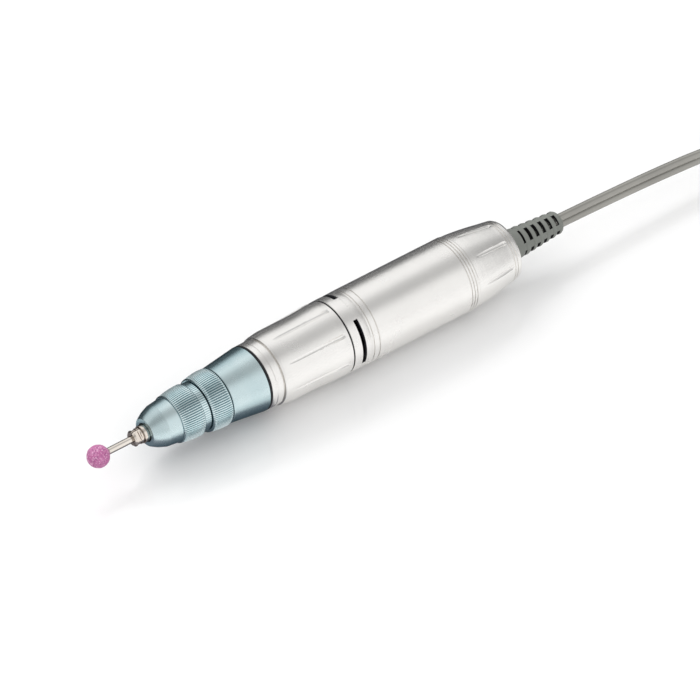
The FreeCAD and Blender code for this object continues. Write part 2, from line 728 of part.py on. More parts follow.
def cord_tube(name, points):
    """Round tube along straight runs joined by tangent arcs."""
    edges = []
    here = points[0]
    length = 0.0
    radii = []
    for before, corner, after in zip(points, points[1:], points[2:]):
        back = (before - corner).normalize()
        ahead = (after - corner).normalize()
        turn = math.pi - back.getAngle(ahead)
        reach = 0.45 * min((corner - before).Length, (after - corner).Length)
        radius = reach / math.tan(turn / 2)
        start = corner + back * reach
        end = corner + ahead * reach
        inward = (back + ahead).normalize()
        middle = corner + inward * (radius / math.cos(turn / 2) - radius)
        edges.append(Part.LineSegment(here, start).toShape())
        edges.append(Part.Arc(start, middle, end).toShape())
        length += (start - here).Length + radius * turn
        radii.append(round(radius, 1))
        here = end
    edges.append(Part.LineSegment(here, points[-1]).toShape())
    length += (points[-1] - here).Length
    section = Part.Wire(Part.makeCircle(CORD_R, points[0], points[1] - points[0]))
    solid = Part.Wire(edges).makePipeShell([section], True, True)
    share = solid.Volume / (math.pi * CORD_R ** 2 * length)
    print(name, "length", round(length, 1), "radii", radii, "volume share", round(share, 4))
    return solid


def waist(length, grow):
    """Block of the hank's tied middle, grown or shrunk all round."""
    low = table + TIE_THICK - grow
    high = table + TIE_THICK + WAIST_HEIGHT + grow
    return block(hank_middle - length / 2, hank_middle + length / 2, WAIST_WIDTH / 2 + grow, low, high)


def hank_loop(end, way):
    """Half of the folded cord: a round end that narrows and sinks towards the tie."""
    radius = HANK_WIDTH / 2
    centre = end + way * radius
    inner = hank_middle - way * (TIE_WIDTH / 2 + TIE_GAP)
    corners = [FreeCAD.Vector(inner, -WAIST_WIDTH / 2, table), FreeCAD.Vector(centre, -radius, table),
               FreeCAD.Vector(end, 0, table), FreeCAD.Vector(centre, radius, table),
               FreeCAD.Vector(inner, WAIST_WIDTH / 2, table)]
    wire = Part.Wire([
        Part.LineSegment(corners[0], corners[1]).toShape(),
        Part.Arc(corners[1], corners[2], corners[3]).toShape(),
        Part.LineSegment(corners[3], corners[4]).toShape(),
        Part.LineSegment(corners[4], corners[0]).toShape(),
    ])
    loop = Part.Face(wire).extrude(FreeCAD.Vector(0, 0, HANK_HEIGHT))
    top = table + HANK_HEIGHT
    low = table + TIE_THICK + WAIST_HEIGHT
    ramp = Part.makePolygon([FreeCAD.Vector(centre + way * RAMP_START, -radius, top),
                             FreeCAD.Vector(inner, -radius, top), FreeCAD.Vector(inner, -radius, low),
                             FreeCAD.Vector(centre + way * RAMP_START, -radius, top)])
    return loop.cut(Part.Face(ramp).extrude(FreeCAD.Vector(0, HANK_WIDTH, 0)))


def cord_hank():
    """Outer shape of the folded cord, drawn in at the tie."""
    neck = waist(TIE_WIDTH + 2 * TIE_GAP, -FIT)
    return hank_loop(hank_front, 1).fuse(hank_loop(hank_end, -1)).fuse(neck)


def hank_tie():
    return waist(TIE_WIDTH, TIE_THICK).cut(waist(TIE_WIDTH, 0.0))


# ---- plug ----
def plug_piece(shape):
    """Moves a piece drawn on the spindle axis to the plug's own axis."""
    moved = shape.copy()
    moved.translate(FreeCAD.Vector(hank_end + TAIL_REACH, -PLUG_SIDE, table + PLUG_R))
    return moved


def plug_boot():
    return plug_piece(turned([(0, 0), (0, 3.5), (0.4, 3.9), (13.5, 5.2), (14, 5.2), (14, 0)]))


def plug_body():
    return plug_piece(turned([(14.02, 0), (14.02, 6.2), (15.6, PLUG_R), (29.6, PLUG_R),
                              (30, PLUG_R - 0.4), (30, 5.9), (39.5, 5.9), (39.5, 0)]))


def plug_lock_ring():
    ring = knurled(30.3, 38.8, (7.5, 7.6, 7.6, 7.5), 48)
    return plug_piece(ring.cut(tube(30, 39, 5.9 + RUN)))


def plug_shell():
    return plug_piece(turned([(39.52, 5.3), (39.52, 6.3), (40.5, 6.3), (40.5, 6.0), (48.6, 6.0),
                              (49, 5.6), (49, 5.3)]))


def plug_insert():
    body = tube(39.52, 42.5, 5.3 - FIT)
    for k in range(PLUG_PINS):
        body = body.cut(plug_pin(k, 0.6 + FIT))
    return plug_piece(body)


def plug_pin(number, radius):
    pin = tube(40.5, 48.0, radius)
    pin.translate(ray(-90 + 45 * number) * 3.9)
    return pin


def plug_pins():
    return [plug_piece(plug_pin(k, 0.6)) for k in range(PLUG_PINS)]


# ---- all pieces ----
def bearings():
    """Outer races, inner races and balls, a node of each for a shaft's two bearings."""
    seats = [
        ("spindle", front_bearing, FRONT_BEARING, SPINDLE_R + FIT, 0.6),
        ("spindle", rear_bearing, REAR_BEARING, SPINDLE_R + FIT, 1.1),
        ("motor", front_plate + 1.2, MOTOR_FRONT_BEARING, SHAFT_R + FIT, 0.9),
        ("motor", rear_plate + 0.2, MOTOR_REAR_BEARING, SHAFT_R + FIT, 0.75),
    ]
    made = {}
    for shaft, *sizes in seats:
        outer_race, inner_race, balls = ball_bearing(*sizes)
        made.setdefault(shaft + "_bearing_outers", []).append(outer_race)
        made.setdefault(shaft + "_bearing_inners", []).append(inner_race)
        made.setdefault(shaft + "_bearing_balls", []).extend(balls)
    return made


def pieces():
    made = {
        "stone_head": stone_head(), "stone_shank": stone_shank(),
        "collet": collet(), "draw_bar": draw_bar(), "thrust_collar": thrust_collar(),
        "cross_pin": cross_pin(), "collet_spring": collet_spring(),
        "spindle": spindle(), "spindle_nut": spindle_nut(), "spindle_dog": spindle_dog(),
        "release_slider": release_slider(), "release_pins": release_pins(),
        "release_ring": release_ring(),
        "nose_cone": nose_cone(), "nose_seal": nose_seal(), "head_housing": head_housing(),
        "front_knurl_ring": front_knurl_ring(), "taper_sleeve": taper_sleeve(),
        "sleeve_gasket": sleeve_gasket(), "front_grip": front_grip(), "seam_ring": seam_ring(),
        "vent_ring": vent_ring(), "motor_barrel": motor_barrel(), "motor_can": motor_can(),
        "magnets": magnets(), "armature_core": armature_core(), "windings": windings(),
        "commutator": commutator(), "motor_shaft": motor_shaft(), "motor_dog": motor_dog(),
        "cooling_fan": cooling_fan(), "motor_front_plate": motor_front_plate(),
        "brush_card": brush_card(), "upper_brush": brush(0), "lower_brush": brush(180),
        "upper_brush_spring": brush_spring(0), "lower_brush_spring": brush_spring(180),
        "motor_rear_plate": motor_rear_plate(), "plate_screws": plate_screws(),
        "terminal_board": terminal_board(), "lead_wires": lead_wires(),
        "rear_cap": rear_cap(), "strain_relief": strain_relief(),
        "cord_lead": cord_tube("cord_lead", lead_route()), "cord_hank": cord_hank(),
        "hank_tie": hank_tie(), "cord_tail": cord_tube("cord_tail", tail_route()),
        "plug_boot": plug_boot(), "plug_body": plug_body(), "plug_lock_ring": plug_lock_ring(),
        "plug_shell": plug_shell(), "plug_insert": plug_insert(), "plug_pins": plug_pins(),
    }
    made.update(bearings())
    return made


def main():
    os.makedirs("parts", exist_ok=True)
    to_frame = FreeCAD.Vector(-ORIGIN_STATION, 0, BARREL_R)
    for name, shape in pieces().items():
        node = Part.makeCompound(shape) if isinstance(shape, list) else shape
        node.translate(to_frame)
        node.exportStep(os.path.join("parts", name + ".step"))
        box = node.BoundBox
        print(f"{name:28s} solids {len(node.Solids):2d} valid {node.isValid()} volume {node.Volume:9.2f}",
              f"x {box.XMin:7.2f} {box.XMax:7.2f} z {box.ZMin:6.2f} {box.ZMax:6.2f}")


main()
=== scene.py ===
import bmesh
import bpy
import math
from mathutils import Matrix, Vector, noise


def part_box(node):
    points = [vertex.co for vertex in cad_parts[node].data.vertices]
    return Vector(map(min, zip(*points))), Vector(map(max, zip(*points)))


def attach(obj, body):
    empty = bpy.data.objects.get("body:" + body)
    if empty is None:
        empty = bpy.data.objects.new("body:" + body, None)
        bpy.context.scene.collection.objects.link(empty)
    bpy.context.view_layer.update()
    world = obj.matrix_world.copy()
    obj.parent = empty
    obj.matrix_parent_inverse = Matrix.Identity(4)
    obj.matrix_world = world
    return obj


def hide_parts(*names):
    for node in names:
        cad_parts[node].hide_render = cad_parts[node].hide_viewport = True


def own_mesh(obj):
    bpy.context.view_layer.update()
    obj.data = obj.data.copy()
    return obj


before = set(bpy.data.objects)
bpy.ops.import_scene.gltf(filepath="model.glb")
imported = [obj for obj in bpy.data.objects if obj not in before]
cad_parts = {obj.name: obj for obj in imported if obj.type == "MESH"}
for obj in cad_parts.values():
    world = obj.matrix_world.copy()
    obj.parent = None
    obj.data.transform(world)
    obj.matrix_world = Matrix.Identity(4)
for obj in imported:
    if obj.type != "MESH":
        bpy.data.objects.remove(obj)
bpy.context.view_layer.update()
MM = 0.001


# ---- Studio ----
# A pale table with a faint gloss. One softbox stands behind the handpiece and a weaker one in front,
# and a long lens looks down at the stone's end.
CAMERA_TURN = math.radians(38.28)
CAMERA_DROP = math.radians(40.57)
CAMERA_DISTANCE = 3.0
CAMERA_AIM = Vector((9.8, 0.0, 3.6)) * MM

gaze = Vector((math.sin(CAMERA_TURN) * math.cos(CAMERA_DROP),
               math.cos(CAMERA_TURN) * math.cos(CAMERA_DROP),
               -math.sin(CAMERA_DROP)))
camera_data = bpy.data.cameras.new("camera")
camera_data.lens = 468.9
camera_data.sensor_width = 36.0
camera = bpy.data.objects.new("camera", camera_data)
camera.location = CAMERA_AIM - gaze * CAMERA_DISTANCE
camera.rotation_euler = gaze.to_track_quat("-Z", "Y").to_euler()
bpy.context.scene.collection.objects.link(camera)
bpy.context.scene.camera = camera
bpy.context.scene.view_settings.view_transform = "Standard"


def softbox(name, place, width, height, power):
    """Area light that faces the handpiece."""
    data = bpy.data.lights.new(name, "AREA")
    data.shape = "RECTANGLE"
    data.size = width
    data.size_y = height
    data.energy = power
    light = bpy.data.objects.new(name, data)
    light.location = place
    light.rotation_euler = (-Vector(place)).to_track_quat("-Z", "Y").to_euler()
    light.visible_glossy = False
    bpy.context.scene.collection.objects.link(light)


softbox("rear_softbox", (-0.05, 0.52, 0.62), 0.8, 0.34, 2.0)
softbox("front_softbox", (-0.25, -0.85, 0.45), 0.9, 0.4, 0.9)


def card(name, low_x, high_x, low_y, high_y, height):
    """Flat stage piece."""
    mesh = bpy.data.meshes.new(name)
    mesh.from_pydata([(low_x, low_y, height), (high_x, low_y, height),
                      (high_x, high_y, height), (low_x, high_y, height)], [], [(0, 1, 2, 3)])
    piece = bpy.data.objects.new(name, mesh)
    bpy.context.scene.collection.objects.link(piece)
    return piece


table = card("table", -2.5, 2.5, -2.5, 2.5, 0.0)
table_finish = bpy.data.materials.new("white_table")
table_finish.use_nodes = True
table_shader = table_finish.node_tree.nodes["Principled BSDF"]
table_shader.inputs["Base Color"].default_value = (0.93, 0.93, 0.93, 1.0)
table_shader.inputs["Roughness"].default_value = 0.09
table_shader.inputs["Specular IOR Level"].default_value = 0.42
table.data.materials.append(table_finish)


# One black card lies behind the handpiece and one under its blue end. Only reflections see them, and
# only from above: they are painted reflections, the rear card a dark band along the tops of the metal
# shells and the front card painted shade of the table under the blue end.
def reflection_card(name, low_x, high_x, low_y, high_y, level):
    """Card on the table that only reflections see, from above: a painted reflection."""
    flag = card(name, low_x, high_x, low_y, high_y, 0.0008)
    flag.visible_camera = False
    flag.visible_diffuse = False
    flag.visible_shadow = False
    finish = bpy.data.materials.new(name)
    finish.use_nodes = True
    nodes = finish.node_tree.nodes
    links = finish.node_tree.links
    front = nodes["Principled BSDF"]
    front.inputs["Base Color"].default_value = (level, level, 1.1 * level, 1.0)
    front.inputs["Roughness"].default_value = 0.9
    back = nodes.new("ShaderNodeBsdfTransparent")
    mix = nodes.new("ShaderNodeMixShader")
    side = nodes.new("ShaderNodeNewGeometry")
    links.new(side.outputs["Backfacing"], mix.inputs[0])
    links.new(front.outputs[0], mix.inputs[1])
    links.new(back.outputs[0], mix.inputs[2])
    links.new(mix.outputs[0], nodes["Material Output"].inputs["Surface"])
    flag.data.materials.append(finish)


# Rear card: painted dark reflection band. Front card: painted shade of the table, seen in reflections.
reflection_card("rear_card", -0.25, 0.55, 0.028, 0.3, 0.05)
reflection_card("front_card", -0.13, -0.026, -0.019, 0.02, 0.3)

# In reflections the room's light runs in long bands above the spindle: dark behind the table, bright
# over the rear softbox, dimmer overhead and bright again in front. They fade at both ends of the
# spindle's line. Each band is its angle in degrees and its level.
ROOM_BANDS = [(-12, 0.08), (15, 0.12), (31, 0.97), (70, 1.0), (88, 0.6), (112, 0.5), (134, 0.95),
              (168, 1.0), (192, 0.86)]
ROOM_LEVEL = 0.95


def map_range(tree, value, low, high, to_low=0.0, to_high=1.0):
    """Map Range node that reads a value."""
    node = tree.nodes.new("ShaderNodeMapRange")
    for label, number in (("From Min", low), ("From Max", high),
                          ("To Min", to_low), ("To Max", to_high)):
        node.inputs[label].default_value = number
    tree.links.new(value, node.inputs["Value"])
    return node


world = bpy.data.worlds.new("room")
bpy.context.scene.world = world
world.use_nodes = True
room = world.node_tree.nodes
wires = world.node_tree.links
way = room.new("ShaderNodeTexCoord")
parts = room.new("ShaderNodeSeparateXYZ")
height = room.new("ShaderNodeMath")
height.operation = "ARCTAN2"
wires.new(way.outputs["Generated"], parts.inputs[0])
wires.new(parts.outputs["Z"], height.inputs[0])
wires.new(parts.outputs["Y"], height.inputs[1])
turn = map_range(world.node_tree, height.outputs[0], -math.pi, math.pi)
bands = room.new("ShaderNodeValToRGB")
wires.new(turn.outputs[0], bands.inputs[0])
nearby = map_range(world.node_tree, parts.outputs["X"], -0.15, 0.25, 0.78, 1.0)
fade = map_range(world.node_tree, parts.outputs["X"], 0.54, 0.8, to_high=0.55)
wires.new(nearby.outputs[0], fade.inputs["To Min"])
dimmed = room.new("ShaderNodeVectorMath")
dimmed.operation = "SCALE"
wires.new(bands.outputs[0], dimmed.inputs[0])
wires.new(fade.outputs[0], dimmed.inputs["Scale"])
seen = room.new("ShaderNodeLightPath")
pale = room.new("ShaderNodeMixRGB")
pale.inputs["Color1"].default_value = (ROOM_LEVEL, ROOM_LEVEL, ROOM_LEVEL, 1.0)
wires.new(seen.outputs["Is Glossy Ray"], pale.inputs[0])
wires.new(dimmed.outputs[0], pale.inputs["Color2"])
wires.new(pale.outputs[0], room["Background"].inputs["Color"])
room["Background"].inputs["Strength"].default_value = 1.0
while len(bands.color_ramp.elements) > 1:
    bands.color_ramp.elements.remove(bands.color_ramp.elements[0])
for number, (degrees, level) in enumerate(ROOM_BANDS):
    place = ((degrees + 180) % 360) / 360
    stop = bands.color_ramp.elements[0] if number == 0 else bands.color_ramp.elements.new(place)
    stop.position = place
    stop.color = (level, level, level, 1.0)


# ---- Cord ----
# Twin-lobed silicone lead, extruded in warm grey. It leaves the strain relief on edge, turns flat on
# the table, is folded into a tied hank and ends in the control box's plug.
SPINDLE_Z = 13.3            # the handpiece's axis above the table
CORD_WIDTH = 5.5 * MM
LOBE_R = 1.42 * MM
LOBE_SPREAD = 1.33 * MM     # cord's middle to a lobe's middle
LAYER = 2.79 * MM           # one flat cord above the next
TURNS = 5
LEAD = [(79.6, 0, SPINDLE_Z), (101.6, 0, 13.15), (150.0, 0, 11.15), (178.6, -2.0, 9.3),
        (202.6, -10.0, 4.0), (225.6, -16.4, 1.5)]
TAIL = [(308.6, -16.4, 15.4), (322.6, -16.4, 14.0), (337.6, -13.8, 9.6), (351.8, -11.6, 7.8)]


def hank_route():
    """Control points of the folded turns: teardrop loops that cross flat through the tie."""
    low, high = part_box("cord_hank")
    tie_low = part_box("hank_tie")[0]
    fold = (high.y - low.y) / 2 - CORD_WIDTH / 2
    corner = fold / math.cos(math.radians(15))
    middle = (low.x + high.x) / 2
    neck = 9.0 * MM
    points = []
    for turn_number in range(TURNS + 1):
        z = low.z + LAYER * (turn_number + 0.5)
        next_z = z + LAYER
        waist_z = tie_low.z + 0.9 * MM + LAYER * (turn_number // 2 + 0.5)
        waist_y = (8.55 if turn_number % 2 == 0 else 2.85) * MM
        fan = 1.1 * MM * (1 + math.sin(2.4 * turn_number))
        near = low.x + fold + CORD_WIDTH / 2 + fan
        far = high.x - fold - CORD_WIDTH / 2 - 0.9 * fan
        last_turn = turn_number == TURNS
        for side in (-1,) if last_turn else (-1, 1):
            start = near if side < 0 else far
            finish = far if side < 0 else near
            lead_in = Vector((start - side * 0.26 * corner, side * fold, z))
            lead_out = Vector((finish + side * 0.26 * corner, side * fold, z))
            neck_in = Vector((middle + side * neck, side * waist_y, waist_z))
            neck_out = Vector((middle - side * neck, side * waist_y, waist_z))
            points += [lead_in.lerp(neck_in, 0.38), neck_in, neck_out, neck_out.lerp(lead_out, 0.62)]
            if last_turn:
                break
            for step in range(8):
                angle = math.radians(-105 + 30 * step)
                rise = 0.0 if side < 0 else (next_z - z) * step / 7
                points.append(Vector((finish - side * corner * math.cos(angle),
                                      side * -corner * math.sin(angle), z + rise)))
    return points


def smooth_line(name, points):
    """Points read from a NURBS spline with these control points."""
    curve = bpy.data.curves.new(name, "CURVE")
    curve.dimensions = "3D"
    curve.resolution_u = 10
    spline = curve.splines.new("NURBS")
    spline.points.add(len(points) - 1)
    for point, place in zip(spline.points, points):
        point.co = (*place, 1.0)
    spline.order_u = 3
    spline.use_endpoint_u = True
    holder = bpy.data.objects.new(name, curve)
    bpy.context.scene.collection.objects.link(holder)
    bpy.context.view_layer.update()
    line_mesh = bpy.data.meshes.new_from_object(holder)
    line = [vertex.co.copy() for vertex in line_mesh.vertices]
    bpy.data.objects.remove(holder)
    return line


def new_piece(name, mesh, body="handpiece", stands_for=()):
    """Object for a finished mesh, riding on its body in place of its CAD nodes."""
    piece = bpy.data.objects.new(name, mesh)
    bpy.context.scene.collection.objects.link(piece)
    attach(piece, body)
    if stands_for:
        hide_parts(*stands_for)
    return piece


def smooth_mesh(name, vertices, faces, sharp=35.0):
    """Mesh that shades smooth except along edges sharper than an angle in degrees."""
    mesh = bpy.data.meshes.new(name)
    mesh.from_pydata(vertices, [], faces)
    shell = bmesh.new()
    shell.from_mesh(mesh)
    bmesh.ops.remove_doubles(shell, verts=shell.verts, dist=0.0001 * MM)
    bmesh.ops.recalc_face_normals(shell, faces=shell.faces)
    shell.to_mesh(mesh)
    shell.free()
    mesh.polygons.foreach_set("use_smooth", [True] * len(mesh.polygons))
    mesh.set_sharp_from_angle(angle=math.radians(sharp))
    return mesh


def lobed_section():
    """Outline of the twin-lobed cord: (across, through) in metres."""
    web = math.acos(LOBE_SPREAD / LOBE_R)
    outline = []
    for side in (1, -1):
        for step in range(13):
            angle = (math.pi - web) * (step / 6 - 1)
            outline.append((side * (LOBE_SPREAD + LOBE_R * math.cos(angle)),
                            side * LOBE_R * math.sin(angle)))
    return outline


def swept(name, vertices, count):
    """Closed mesh through equal rings of vertices."""
    faces = []
    for ring in range(len(vertices) // count - 1):
        for k in range(count):
            a = ring * count + k
            b = ring * count + (k + 1) % count
            faces.append((a, b, b + count, a + count))
    faces.append(tuple(range(count)))
    faces.append(tuple(range(len(vertices) - count, len(vertices))))
    return smooth_mesh(name, vertices, faces, sharp=50.0)


def cord_mesh(line):
    """Sweeps the lobed section: on edge out of the relief, flat before the hank."""
    outline = lobed_section()
    vertices = []
    for number, place in enumerate(line):
        ahead = line[min(number + 1, len(line) - 1)] - line[max(number - 1, 0)]
        along = ahead.normalized()
        side = along.cross(Vector((0, 0, 1))).normalized()
        lift = side.cross(along)
        share = min(max((place.x - 150 * MM) / (62 * MM), 0.0), 1.0)
        twist = math.radians(96 * (1 - share * share * (3 - 2 * share)))
        across = side * math.cos(twist) + lift * math.sin(twist)
        through = along.cross(across)
        vertices += [place + across * u + through * v for u, v in outline]
    return swept("cord", vertices, len(outline))


cord_line = smooth_line("cord_line", [Vector(p) * MM for p in LEAD] + hank_route()
                        + [Vector(p) * MM for p in TAIL])
cord = new_piece("cord", cord_mesh(cord_line),
                 stands_for=("cord_lead", "cord_hank", "cord_tail"))


def shader_group(name, inputs, outputs):
    """Empty node group with named sockets."""
    group = bpy.data.node_groups.new(name, "ShaderNodeTree")
    for label, kind, value in inputs:
        socket = group.interface.new_socket(label, in_out="INPUT", socket_type=kind)
        socket.default_value = value
    for label, kind in outputs:
        group.interface.new_socket(label, in_out="OUTPUT", socket_type=kind)
    return group, group.nodes.new("NodeGroupInput"), group.nodes.new("NodeGroupOutput")


def add_noise(tree, scale_from, detail):
    """Noise in the piece's own place, with its scale read from a socket."""
    place = tree.nodes.new("ShaderNodeTexCoord")
    texture = tree.nodes.new("ShaderNodeTexNoise")
    texture.inputs["Detail"].default_value = detail
    tree.links.new(place.outputs["Object"], texture.inputs["Vector"])
    tree.links.new(scale_from, texture.inputs["Scale"])
    return texture


# Two colours that drift into each other, as an uneven dye, plating or moulding does.
drift, drift_in, drift_out = shader_group(
    "colour drift",
    [("Light", "NodeSocketColor", (0.8, 0.8, 0.8, 1)), ("Dark", "NodeSocketColor", (0.6, 0.6, 0.6, 1)),
     ("Scale", "NodeSocketFloat", 60.0)],
    [("Colour", "NodeSocketColor")])
drift_noise = add_noise(drift, drift_in.outputs["Scale"], 4.0)
drift_range = map_range(drift, drift_noise.outputs["Fac"], 0.35, 0.65)
drift_mix = drift.nodes.new("ShaderNodeMixRGB")
drift.links.new(drift_range.outputs[0], drift_mix.inputs[0])
drift.links.new(drift_in.outputs["Light"], drift_mix.inputs["Color1"])
drift.links.new(drift_in.outputs["Dark"], drift_mix.inputs["Color2"])
drift.links.new(drift_mix.outputs[0], drift_out.inputs["Colour"])

# Roughness that rises where fingers and cloths have been.
smudge, smudge_in, smudge_out = shader_group(
    "handling smudges",
    [("Clean", "NodeSocketFloat", 0.3), ("Touched", "NodeSocketFloat", 0.4),
     ("Scale", "NodeSocketFloat", 90.0)],
    [("Roughness", "NodeSocketFloat")])
smudge_noise = add_noise(smudge, smudge_in.outputs["Scale"], 6.0)
smudge_range = map_range(smudge, smudge_noise.outputs["Fac"], 0.42, 0.68)
smudge.links.new(smudge_in.outputs["Clean"], smudge_range.inputs["To Min"])
smudge.links.new(smudge_in.outputs["Touched"], smudge_range.inputs["To Max"])
smudge.links.new(smudge_range.outputs[0], smudge_out.inputs["Roughness"])

# Fine relief of blasting, moulding or sintering: a coarse and a fine grain together.
grain, grain_in, grain_out = shader_group(
    "surface grain",
    [("Scale", "NodeSocketFloat", 6000.0)],
    [("Height", "NodeSocketFloat")])
grain_coarse = add_noise(grain, grain_in.outputs["Scale"], 2.0)
grain_double = grain.nodes.new("ShaderNodeMath")
grain_double.operation = "MULTIPLY"
grain_double.inputs[1].default_value = 2.7
grain.links.new(grain_in.outputs["Scale"], grain_double.inputs[0])
grain_fine = add_noise(grain, grain_double.outputs[0], 1.0)
grain_sum = grain.nodes.new("ShaderNodeMath")
grain_sum.operation = "ADD"
grain.links.new(grain_coarse.outputs["Fac"], grain_sum.inputs[0])
grain.links.new(grain_fine.outputs["Fac"], grain_sum.inputs[1])
grain.links.new(grain_sum.outputs[0], grain_out.inputs["Height"])


def new_finish(name, light, dark, clean, touched, grain_scale, grain_depth, metallic=0.0,
               drift_scale=60.0, smudge_scale=90.0):
    """Material with drifting colour, smudged roughness and a fine grain."""
    material = bpy.data.materials.new(name)
    material.use_nodes = True
    nodes = material.node_tree.nodes
    links = material.node_tree.links
    shader = nodes["Principled BSDF"]
    shader.inputs["Metallic"].default_value = metallic
    colour = nodes.new("ShaderNodeGroup")
    colour.node_tree = drift
    colour.inputs["Light"].default_value = (*light, 1.0)
    colour.inputs["Dark"].default_value = (*dark, 1.0)
    colour.inputs["Scale"].default_value = drift_scale
    links.new(colour.outputs["Colour"], shader.inputs["Base Color"])
    rough = nodes.new("ShaderNodeGroup")
    rough.node_tree = smudge
    rough.inputs["Clean"].default_value = clean
    rough.inputs["Touched"].default_value = touched
    rough.inputs["Scale"].default_value = smudge_scale
    links.new(rough.outputs["Roughness"], shader.inputs["Roughness"])
    relief = nodes.new("ShaderNodeGroup")
    relief.node_tree = grain
    relief.inputs["Scale"].default_value = grain_scale
    bump = nodes.new("ShaderNodeBump")
    bump.inputs["Strength"].default_value = 1.0
    bump.inputs["Distance"].default_value = grain_depth
    links.new(relief.outputs["Height"], bump.inputs["Height"])
    links.new(bump.outputs["Normal"], shader.inputs["Normal"])
    return material


cord_finish = new_finish("silicone_cord", (0.37, 0.362, 0.333), (0.33, 0.323, 0.298), 0.18, 0.26,
                         2500.0, 0.000012, 0.6)
cord.data.materials.append(cord_finish)


# ---- Cord tie ----
# Woven hook tape in black. It is wrapped once round the hank's waist and laps over itself on top,
# where the hooks hold it.
TIE_THICK = 0.85
TIE_LAP = 13.0


def eased(outline, ease):
    """Outline with each corner rounded by a small curve that has a support point on either side."""
    rounded = [outline[0]]
    for before, corner, after in zip(outline, outline[1:], outline[2:]):
        reach = []
        for other in (before, after):
            edge = math.dist(corner, other)
            reach.append([[c + (o - c) * min(part * ease, limit * edge) / edge
                           for c, o in zip(corner, other)]
                          for part, limit in ((1.0, 0.3), (2.2, 0.45))])
        rounded.append(tuple(reach[0][1]))
        for step in range(4):
            t = step / 3
            rounded.append(tuple((1 - t) ** 2 * a + 2 * t * (1 - t) * c + t * t * b
                                 for a, c, b in zip(reach[0][0], corner, reach[1][0])))
        rounded.append(tuple(reach[1][1]))
    return rounded + [outline[-1]]


def add_weave(material, scale):
    """Adds the crossing ribs of a woven tape to a material's relief."""
    nodes = material.node_tree.nodes
    links = material.node_tree.links
    shader = nodes["Principled BSDF"]
    place = nodes.new("ShaderNodeTexCoord")
    ribs = nodes.new("ShaderNodeTexWave")
    ribs.inputs["Scale"].default_value = scale
    ribs.inputs["Distortion"].default_value = 1.5
    bump = nodes.new("ShaderNodeBump")
    bump.inputs["Distance"].default_value = 0.0001
    links.new(place.outputs["Object"], ribs.inputs["Vector"])
    links.new(ribs.outputs["Fac"], bump.inputs["Height"])
    links.new(shader.inputs["Normal"].links[0].from_socket, bump.inputs["Normal"])
    links.new(bump.outputs["Normal"], shader.inputs["Normal"])


def tie_mesh():
    """Band that follows the waist and climbs over its own start."""
    low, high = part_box("hank_tie")
    half_width = (high.y - low.y) / 2 / MM - TIE_THICK / 2
    half_height = (high.z - low.z) / 2 / MM - TIE_THICK / 2
    middle = (low + high) / 2
    corner_r = 3.4
    path = []
    for cx, cz, start in ((1, 1, 0), (1, -1, 90), (-1, -1, 180), (-1, 1, 270)):
        for step in range(9):
            angle = math.radians(start + 90 * step / 8)
            path.append((cx * (half_width - corner_r) + corner_r * math.sin(angle),
                         cz * (half_height - corner_r) + corner_r * math.cos(angle)))
    start_y = -2.0
    path = [(start_y, half_height)] + path + [(start_y, half_height)]
    lap = [(start_y + TIE_LAP * k / 6, half_height) for k in range(1, 7)]
    rises = [0.0] * (len(path) - 3) + [0.25, 0.6, 0.95] + [0.95] * len(lap)
    path += lap
    length = high.x - low.x
    section = eased([(-0.5, 0.0), (-0.5, 0.5), (0.5, 0.5), (0.5, -0.5), (-0.5, -0.5), (-0.5, 0.0)], 0.2)
    vertices = []
    for number, (y, z) in enumerate(path):
        before = path[max(number - 1, 0)]
        after = path[min(number + 1, len(path) - 1)]
        along = Vector((0.0, after[0] - before[0], after[1] - before[1])).normalized()
        out = Vector((0.0, -along.z, along.y))
        if number in (0, len(path) - 1):
            out = Vector((0.0, 0.0, 1.0))
        rise = rises[number] * TIE_THICK
        for u, v in section[:-1]:
            vertices.append(Vector((middle.x + u * length, middle.y, middle.z))
                            + (Vector((0.0, y, z)) + out * (v * TIE_THICK + rise)) * MM)
    return swept("hank_strap", vertices, len(section) - 1)


hank_strap = new_piece("hank_strap", tie_mesh(), stands_for=("hank_tie",))
tie_finish = new_finish("hook_tape", (0.020, 0.020, 0.022), (0.009, 0.009, 0.010), 0.75, 0.9, 2600.0,
                        0.00012)
add_weave(tie_finish, 900.0)
hank_strap.data.materials.append(tie_finish)


# ---- Plug ----
# Grey moulded boot and body, a knurled nickel ring that turns on the body, and a nickel shell round an
# insulator with five gold pins. The body is screwed together from two halves behind the ring.
PLUG_AXIS = (-11.6, 7.8)
PLUG_TEETH = 48


def spoke(degrees):
    """Direction from the spindle's axis at an angle: up at 0, towards the front of the table at 90."""
    return Vector((0.0, -math.sin(math.radians(degrees)), math.cos(math.radians(degrees))))


def lathe(name, outline, front, axis=(0.0, SPINDLE_Z), angles=None, carve=None, sharp=35.0):
    """Closed skin turned from (place, radius) points in millimetres; carve may lower a radius."""
    if angles is None:
        angles = [2.8125 * k for k in range(128)]
    vertices = []
    for degrees in angles:
        out = spoke(degrees)
        for place, radius in outline:
            if carve:
                radius = carve(place, radius, degrees)
            vertices.append((Vector((front + place, *axis)) + out * radius) * MM)
    count = len(outline)
    closed = outline[0][1] > 0
    faces = []
    for column in range(len(angles)):
        here = column * count
        there = (column + 1) % len(angles) * count
        for row in range(count if closed else count - 1):
            after = (row + 1) % count
            faces.append((here + row, here + after, there + after, there + row))
    return smooth_mesh(name, vertices, faces, sharp)


def turned_piece(name, outline, node, slot_name, finish, body="handpiece", **turning):
    """Turned piece that stands for one CAD node and starts at its front."""
    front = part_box(node)[0].x / MM
    piece = new_piece(name, lathe(name, outline, front, **turning), body, (node,))
    piece.data.materials.append(finish)
    return piece


def toothed(teeth):
    """Angles of a straight knurl, four for each tooth: two on its land and two in its groove."""
    return [(k + share) * 360 / teeth for k in range(teeth) for share in (0.0, 0.34, 0.56, 0.78)]


